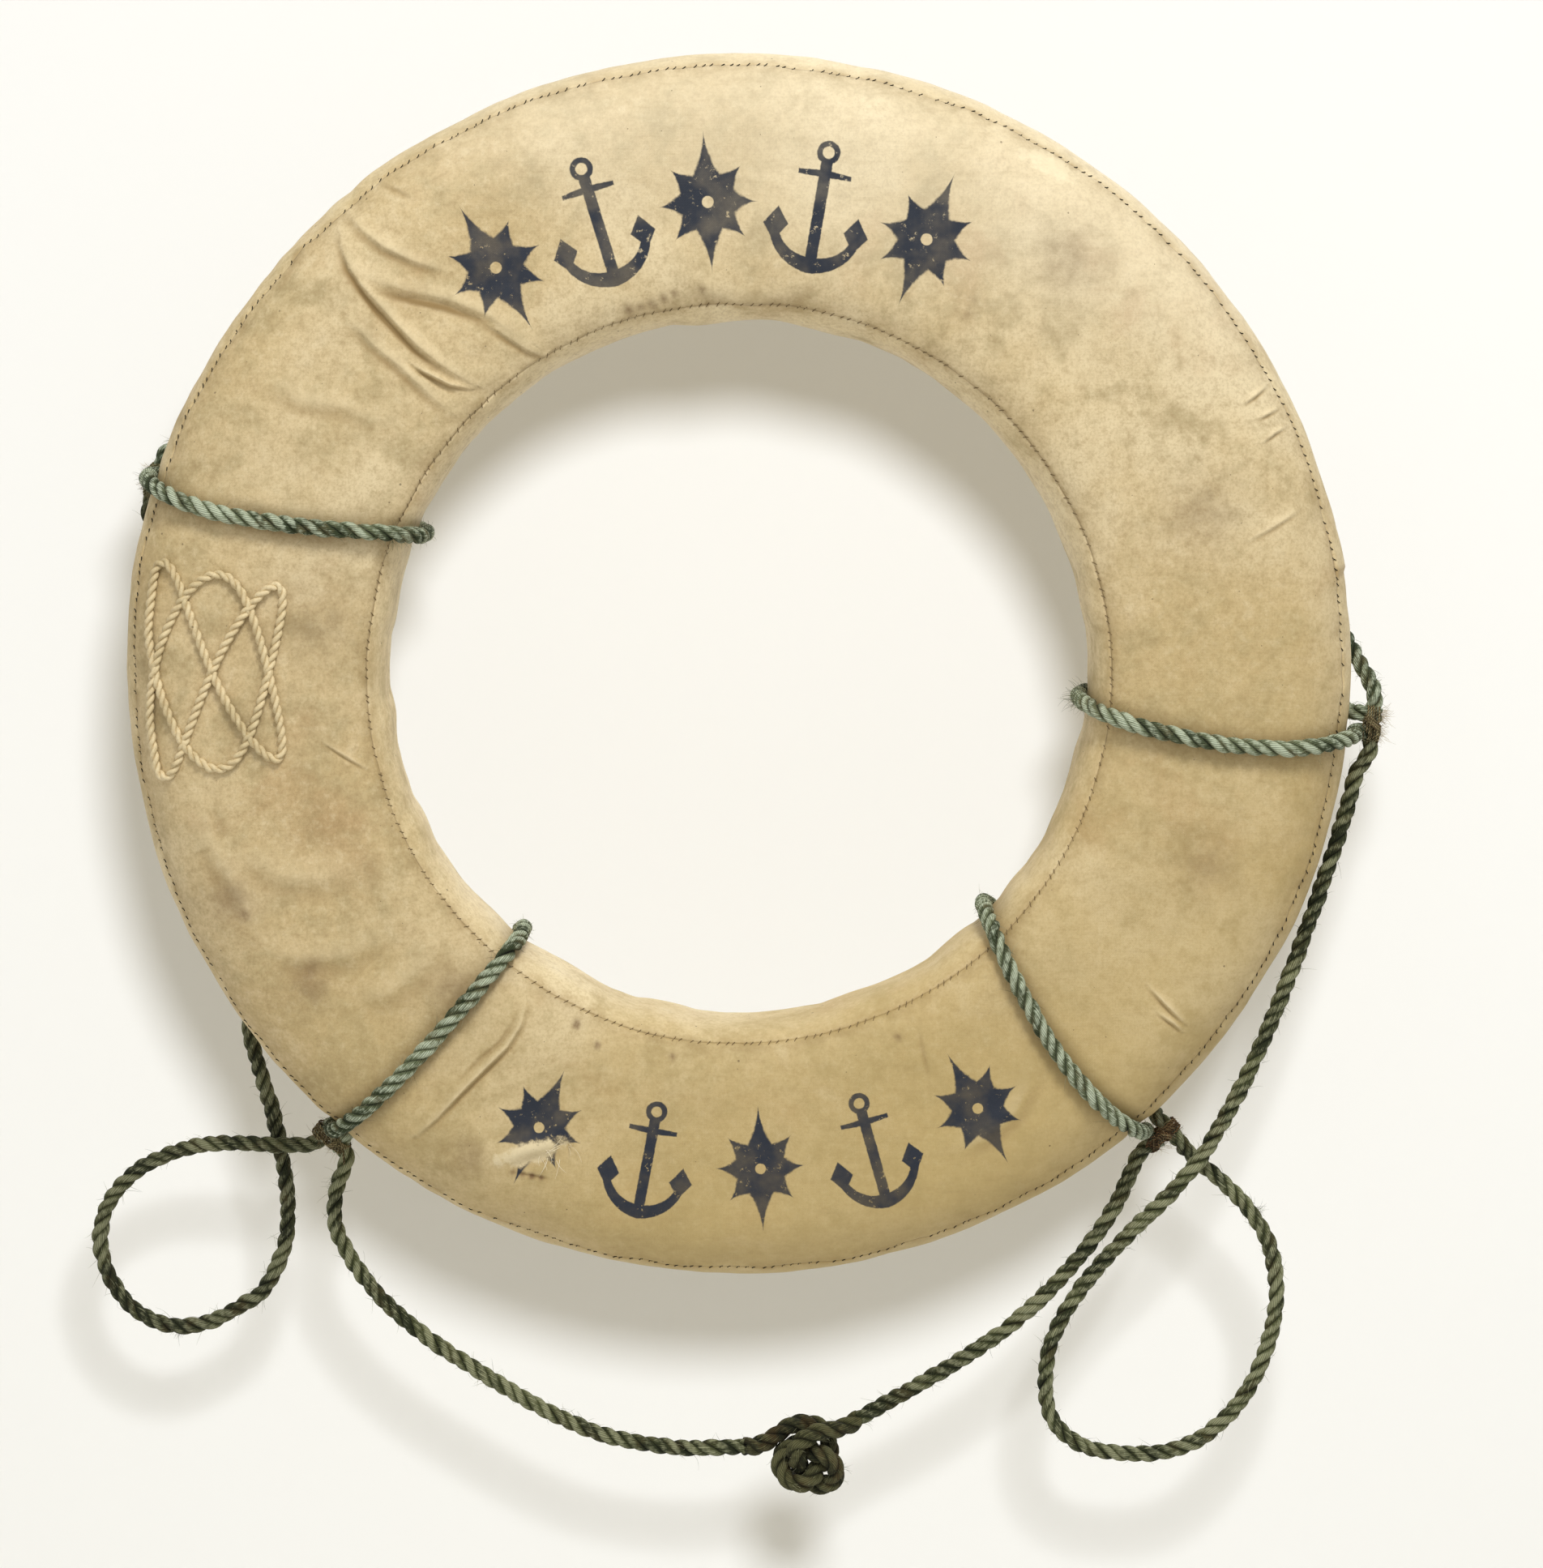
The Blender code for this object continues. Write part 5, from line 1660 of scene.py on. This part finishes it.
def weaveGroup():
    # plain weave in metres: warp and weft pass over each other in turn
    group, tree, given, out = newGroup("plainWeave", {"Threads": threadsPerMetre}, ["Height"])
    place = tree.node("ShaderNodeUVMap", uv_map="cloth").outputs[0]
    parts = tree.node("ShaderNodeSeparateXYZ", {0: place}).outputs[:2]
    turns = [tree.times(tree.times(part, given["Threads"]), math.pi) for part in parts]
    weft, warp = (tree.math("SINE", turn) for turn in turns)
    over = tree.math("MULTIPLY_ADD", tree.math("SIGN", tree.times(weft, warp)), 0.5, 0.5)
    weftTop, warpTop = tree.math("ABSOLUTE", weft), tree.math("ABSOLUTE", warp)
    height = tree.plus(tree.times(weftTop, over), tree.times(warpTop, tree.minus(1.0, over)))
    tree.plug(height, out["Height"])
    return group


# Painted ornament: two rows of compass stars and anchors, on arcs round the ring's axis

ornament = {
    # middle of the arc in degrees, its radius, half a figure's height, degrees from one figure to the
    # next, how many, and which way up
    "top": {"middle": 93.75, "radius": 0.2905, "half": 0.041, "step": 13.4, "count": 5, "up": 1},
    "bottom": {"middle": 272.5, "radius": 0.3055, "half": 0.038, "step": 13.2, "count": 5, "up": -1},
    "colour": (0.0115, 0.0160, 0.0270),
}


def arcPlaceGroup():
    # place within the nearest figure of a row, in half heights, and which figure it is
    group, tree, given, out = newGroup("arcPlace", {
        "Middle": 0.0, "Radius": 0.3, "Half": 0.03, "Step": 0.15, "Count": 7.0, "Up": 1.0,
    }, ["Across", "Upward", "Odd", "Within"])
    parts = tree.node("ShaderNodeSeparateXYZ", {0: tree.objectPlace()}).outputs
    x, z = parts[0], tree.minus(parts[2], ring["centreZ"])
    radius = tree.math("SQRT", tree.plus(tree.times(x, x), tree.times(z, z)))
    cosine, sine = tree.math("COSINE", given["Middle"]), tree.math("SINE", given["Middle"])
    ahead = tree.plus(tree.times(x, cosine), tree.times(z, sine))
    aside = tree.minus(tree.times(z, cosine), tree.times(x, sine))
    turn = tree.math("DIVIDE", tree.math("ARCTAN2", aside, ahead), given["Step"])
    which = tree.math("ROUND", turn)
    away = tree.times(tree.times(tree.minus(turn, which), given["Step"]), radius)
    lift = tree.times(tree.minus(radius, given["Radius"]), given["Up"])
    even = tree.times(tree.math("ROUND", tree.times(which, 0.5)), 2.0)
    within = tree.math("LESS_THAN", tree.math("ABSOLUTE", which), tree.times(given["Count"], 0.5))
    tree.plug(tree.math("DIVIDE", tree.times(away, -1.0), given["Half"]), out["Across"])
    tree.plug(tree.math("DIVIDE", lift, given["Half"]), out["Upward"])
    tree.plug(tree.math("ABSOLUTE", tree.minus(which, even)), out["Odd"])
    tree.plug(within, out["Within"])
    return group


def starGroup():
    # positive inside a compass star of four long and four short points, with a pale eye
    group, tree, given, out = newGroup("compassStar", {"X": 0.0, "Y": 0.0}, ["Inside"])

    def points(x, y, width, height, power):
        sides = [tree.math("POWER", tree.math("ABSOLUTE", tree.math("DIVIDE", v, size)), power)
                 for v, size in ((x, width), (y, height))]
        return tree.minus(1.0, tree.plus(*sides))

    x, y = given["X"], given["Y"]
    longPoints = points(x, y, 0.74, 1.06, 0.62)
    slant = [tree.times(tree.math(kind, x, y), 0.7071) for kind in ("ADD", "SUBTRACT")]
    shortPoints = points(*slant, 0.74, 0.74, 0.7)
    away = tree.math("SQRT", tree.plus(tree.times(x, x), tree.times(y, y)))
    eye = tree.times(tree.minus(away, 0.085), 5.0)
    star = tree.math("MAXIMUM", longPoints, shortPoints)
    tree.plug(tree.math("MINIMUM", star, eye), out["Inside"])
    return group


def anchorGroup():
    # positive inside an anchor
    group, tree, given, out = newGroup("anchor", {"X": 0.0, "Y": 0.0}, ["Inside"])
    x, y = tree.math("ABSOLUTE", given["X"]), given["Y"]

    def away(cx, cy):
        dx, dy = tree.minus(x, cx), tree.minus(y, cy)
        return tree.math("SQRT", tree.plus(tree.times(dx, dx), tree.times(dy, dy)))

    def bar(cx, cy, width, height):
        gaps = [tree.minus(size, tree.math("ABSOLUTE", tree.minus(v, middle)))
                for v, middle, size in ((x, cx, width), (y, cy, height))]
        return tree.math("MINIMUM", *gaps)

    eye = tree.minus(0.045, tree.math("ABSOLUTE", tree.minus(away(0, 0.82), 0.13)))
    shank = bar(0, -0.1, 0.09, 0.82)
    stock = tree.minus(bar(0, 0.5, 0.42, 0.06), tree.times(x, 0.06))
    arms = tree.minus(tree.minus(0.125, tree.times(x, 0.09)),
                     tree.math("ABSOLUTE", tree.minus(away(0, -0.22), 0.64)))
    arms = tree.math("MINIMUM", arms, tree.minus(-0.3, y))
    sides = [tree.math("ABSOLUTE", tree.math("DIVIDE", tree.minus(v, c), size))
             for v, c, size in ((x, 0.6, 0.19), (y, -0.3, 0.26))]
    fluke = tree.times(tree.minus(1.0, tree.plus(*sides)), 0.15)
    inside = eye
    for shape in (shank, stock, arms, fluke):
        inside = tree.math("MAXIMUM", inside, shape)
    tree.plug(tree.times(inside, 4.0), out["Inside"])
    return group


def wornPaintGroup():
    # mask of paint laid on a figure, ragged at its edge and rubbed off in places
    group, tree, given, out = newGroup("wornPaint", {"Inside": 0.0, "Within": 1.0}, ["Mask"])
    place = tree.objectPlace()
    ragged = tree.times(tree.minus(tree.noise(place, 420.0, 3.0, 0.6), 0.5), 0.09)
    mask = tree.remap(tree.plus(given["Inside"], ragged), -0.03, 0.05)
    rubbed = tree.remap(tree.noise(place, 240.0, 5.0, 0.75), 0.33, 0.4, 0.35, 1.0)
    thin = tree.remap(tree.noise(place, 36.0, 3.0, 0.6), 0.3, 0.6, 0.86, 1.0)
    mask = tree.times(tree.times(mask, rubbed), thin)
    tree.plug(tree.times(mask, given["Within"]), out["Mask"])
    return group


agedPaint, plainWeave = agedPaintGroup(), weaveGroup()
arcPlace, wornPaint = arcPlaceGroup(), wornPaintGroup()
compassStar, anchor = starGroup(), anchorGroup()


def ornamentMask(tree):
    masks = []
    for row in (ornament["top"], ornament["bottom"]):
        place = useGroup(tree, arcPlace, {
            "Middle": math.radians(row["middle"]), "Radius": row["radius"], "Half": row["half"],
            "Step": math.radians(row["step"]), "Count": float(row["count"]), "Up": float(row["up"])})
        figures = [useGroup(tree, figure, {"X": place["Across"], "Y": place["Upward"]})["Inside"]
                   for figure in (compassStar, anchor)]
        mixed = tree.node("ShaderNodeMix", data_type="FLOAT")
        for value, socket in zip((place["Odd"], *figures), mixed.inputs[0:1] + mixed.inputs[2:4]):
            tree.plug(value, socket)
        painted = useGroup(tree, wornPaint, {"Inside": mixed.outputs[0], "Within": place["Within"]})
        masks.append(painted["Mask"])
    return tree.math("MAXIMUM", *masks)


def canvasMaterial(name):
    look = paints[name]
    light, mid, dirtAndShadeTone = ((*tone, 1) for tone in look["tones"])
    material, tree, shader = newMaterial(name)
    paint = useGroup(tree, agedPaint, {
        "Light": light, "Mid": mid, "Dirt": dirtAndShadeTone, "Dirtiness": look["dirtiness"],
        "Seam": tree.attribute("seam"), "Crease": tree.attribute("crease"),
        "Stain": tree.attribute("stain")})
    weave = useGroup(tree, plainWeave, {"Threads": threadsPerMetre})
    colour = paint["Colour"]
    if look["ornament"]:
        ragged = tree.noise(tree.objectPlace(), 210.0, 4.0, 0.65)
        bare = tree.remap(tree.plus(tree.attribute("flake"), tree.times(ragged, 0.8)), 0.86, 1.14)
        colour = tree.blend(tree.times(bare, 0.42), colour, agedTones["bare"])
        mask = tree.times(ornamentMask(tree), tree.minus(1.0, bare))
        colour = tree.blend(mask, colour, (*ornament["colour"], 1))
    # painted shade: the canvas is darkened beside and under the rope bands
    colour = tree.blend(tree.times(tree.attribute("underRope"), 0.5), colour, dirtAndShadeTone)
    # dirt and painted shade: a dark line on a band where a panel's edge lies over it
    line = tree.times(tree.attribute("seamLine"), look["lineShade"])
    colour = tree.blend(line, colour, agedTones["seamLine"])
    normal = tree.bump(paint["Height"], 0.0005, 0.6)
    normal = tree.bump(weave["Height"], 0.00012, 0.5, normal)
    tree.plug(colour, shader.inputs["Base Color"])
    tree.plug(paint["Roughness"], shader.inputs["Roughness"])
    tree.plug(normal, shader.inputs["Normal"])
    shader.inputs["Specular IOR Level"].default_value = 0.35
    return material


for name, strip in strips.items():
    coverStrip(name, strip)
print("canvas cover is sewn")


# Stitches along the seams, the raised knot of couched cord, and the tear's threads

stitch = {
    "pitch": 0.0055,
    "across": 0.0018,
    "slant": 0.0022,
    "height": 0.00035,
    "missed": 0.06,
    # share of the way across, and height over the cloth
    "profile": [(-1, -0.4), (-0.75, 0.75), (0.0, 1.0), (0.6, 0.75), (0.8, -0.5)],
}
# Each seam: the panel and the band that it joins, and a seed
seamRows = {
    "frontOuter": ("coverFront", "coverOuterBand", 71),
    "frontInner": ("coverFront", "coverInnerBand", 72),
    "backOuter": ("coverBack", "coverOuterBand", 73),
    "backInner": ("coverBack", "coverInnerBand", 74),
}
seamThreads = {"coverOuterBand": ("seamThread", 0.0007), "coverInnerBand": ("paleThread", 0.0005)}
raisedKnot = {
    "place": (179.3, 0.3225),  # ring angle, distance from the axis
    "half": (0.040, 0.060),  # towards the axis, and along the ring
    "diameter": 0.0058,
    "lay": 0.0125,
    "sunk": 0.0016,
    "over": 0.34,  # how far one part climbs over another, in diameters
    "points": 105,
    "spacing": 0.0009,
}


def clothSurface(names):
    # finds the outermost place of the cloth over a place on the section
    graph = bpy.context.evaluated_depsgraph_get()
    trees = [BVHTree.FromObject(bpy.data.objects[name], graph) for name in names]

    def find(angle, reach, above):
        degrees = math.degrees(angle)
        start = ringPoint(degrees, *onSection(reach, 0.02))
        base = ringPoint(degrees, *onSection(reach))
        way = (base - start).normalized()
        hits = [hit for hit in (t.ray_cast(start, way, 0.03) for t in trees) if hit[0] is not None]
        place = min(hits, key=lambda hit: hit[3])[0] if hits else base
        return place - way * above

    return find


def seamStitches(name, panel, band, seed):
    find, draw, runs = clothSurface([panel, band]), random.Random(seed), []
    turn = seams[name]
    seam = reachAt(turn)
    radius = onSection(seam)[0]
    for i in range(round(2 * math.pi * radius / stitch["pitch"])):
        angle = (i + draw.uniform(-0.22, 0.22)) * stitch["pitch"] / radius
        across = stitch["across"] * draw.uniform(0.7, 1.15)
        if draw.random() < stitch["missed"]:
            continue
        points = []
        for share, above in stitch["profile"]:
            place = wandered(np.array([seam]), np.array([angle]))[0]
            place += share * across * math.copysign(1, turn - 180)
            slanted = angle + 0.5 * share * stitch["slant"] / radius
            points.append(find(slanted, place, above * stitch["height"]))
        runs.append((points, 0.0))
    tone, width = seamThreads[band]
    threads("stitches" + name[0].upper() + name[1:], runs, width, hemp[tone], "ring", "canvas")


def frontReach(radius):
    # place along the section of a distance from the axis, on the front
    reach = np.linspace(reachAt(60), reachAt(125), 600)
    return float(np.interp(radius, onSection(reach)[0], reach))


def raisedOrnament():
    # a closed sailor's knot laid flat on the canvas, over and under itself
    find = clothSurface(["coverFront"])
    middleAngle, middleRadius = raisedKnot["place"]
    points = []
    for i in range(raisedKnot["points"] + 1):
        turn = 2 * math.pi * i / raisedKnot["points"]
        across = raisedKnot["half"][0] * math.sin(2 * turn)
        upward = raisedKnot["half"][1] * math.sin(3 * turn)
        angle = math.radians(middleAngle) - upward / middleRadius
        over = 0.5 + 0.5 * math.sin(6 * turn + 0.6)
        above = raisedKnot["diameter"] / 2 - raisedKnot["sunk"]
        above += raisedKnot["diameter"] * raisedKnot["over"] * over
        points.append(find(angle, frontReach(middleRadius - across), above))
    line = smoothPath(points, raisedKnot["spacing"])
    cord = laidRope("raisedKnot", line, raisedKnot["diameter"], raisedKnot["lay"], 2, 3)
    finishPiece("raisedKnot", cord, canvasMaterial("paintedCord"), "ring", "canvas")


def tornThreads():
    find, draw, runs = clothSurface(["coverFront"]), random.Random(75), []
    angle, radius = torn["threadsFrom"]
    for _ in range(torn["threads"]):
        at = math.radians(angle + draw.uniform(-1.6, 1.3))
        root = find(at, frontReach(radius + draw.uniform(-0.009, 0.009)), 0.0003)
        sideways, forward = draw.uniform(-0.5, 1.0), draw.uniform(-0.45, -0.05)
        heading = Vector((sideways, forward, draw.uniform(-1.3, 0.5)))
        length = torn["length"] * draw.uniform(0.35, 1.0)
        runs.append(hairRun(draw, root, heading.normalized(), length, 1.1, 7))
    threads("tornThreads", runs, torn["width"], fibres["canvas"], "ring", "canvas")


for name, row in seamRows.items():
    seamStitches(name, *row)
raisedOrnament()
tornThreads()
print("seams are stitched")


# Cork and treenails, which the cover hides

def corkMaterial():
    material, tree, shader = newMaterial("pressedCork")
    place = tree.objectPlace()
    grain = tree.noise(place, 90.0, 5.0, 0.65, 0.3)
    cells = tree.node("ShaderNodeTexVoronoi", {"Vector": place, "Scale": 260.0}).outputs["Distance"]
    pores = tree.remap(tree.noise(place, 45.0, 3.0, 0.7, 1.2), 0.6, 0.68)
    colour = tree.blend(tree.remap(grain, 0.35, 0.68), (0.27, 0.15, 0.06, 1), (0.47, 0.29, 0.13, 1))
    colour = tree.blend(tree.remap(cells, 0.1, 0.5, 0.0, 0.25), colour, (0.6, 0.42, 0.22, 1))
    colour = tree.blend(pores, colour, (0.09, 0.045, 0.02, 1))
    tree.plug(colour, shader.inputs["Base Color"])
    tree.plug(tree.remap(grain, 0.3, 0.7, 0.75, 0.95), shader.inputs["Roughness"])
    height = tree.minus(tree.plus(grain, tree.times(cells, 0.4)), pores)
    tree.plug(tree.bump(height, 0.0008, 0.7), shader.inputs["Normal"])
    return material


def treenailMaterial():
    material, tree, shader = newMaterial("oakTreenail")
    place = tree.objectPlace()
    grain = tree.noise(tree.stretched(place, 900.0, 60.0, 900.0), 1.0, 4.0, 0.6)
    colour = tree.blend(tree.remap(grain, 0.3, 0.7), (0.2, 0.12, 0.055, 1), (0.45, 0.3, 0.15, 1))
    tree.plug(colour, shader.inputs["Base Color"])
    tree.plug(tree.remap(grain, 0.3, 0.7, 0.5, 0.75), shader.inputs["Roughness"])
    tree.plug(tree.bump(grain, 0.0003, 0.6), shader.inputs["Normal"])
    return material


cork, treenail = corkMaterial(), treenailMaterial()
for name, obj in frame["nodes"].items():
    if name.startswith(("cork_", "treenail")):
        for socket in obj.material_slots:
            socket.material = cork if name.startswith("cork_") else treenail
print("cork and treenails have their finish")

lowest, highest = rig.bounds()
with open("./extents.json", "w") as out:
    for corner in (*cadBounds, lowest, highest):
        out.write(json.dumps([round(v, 5) for v in corner]) + "\n")
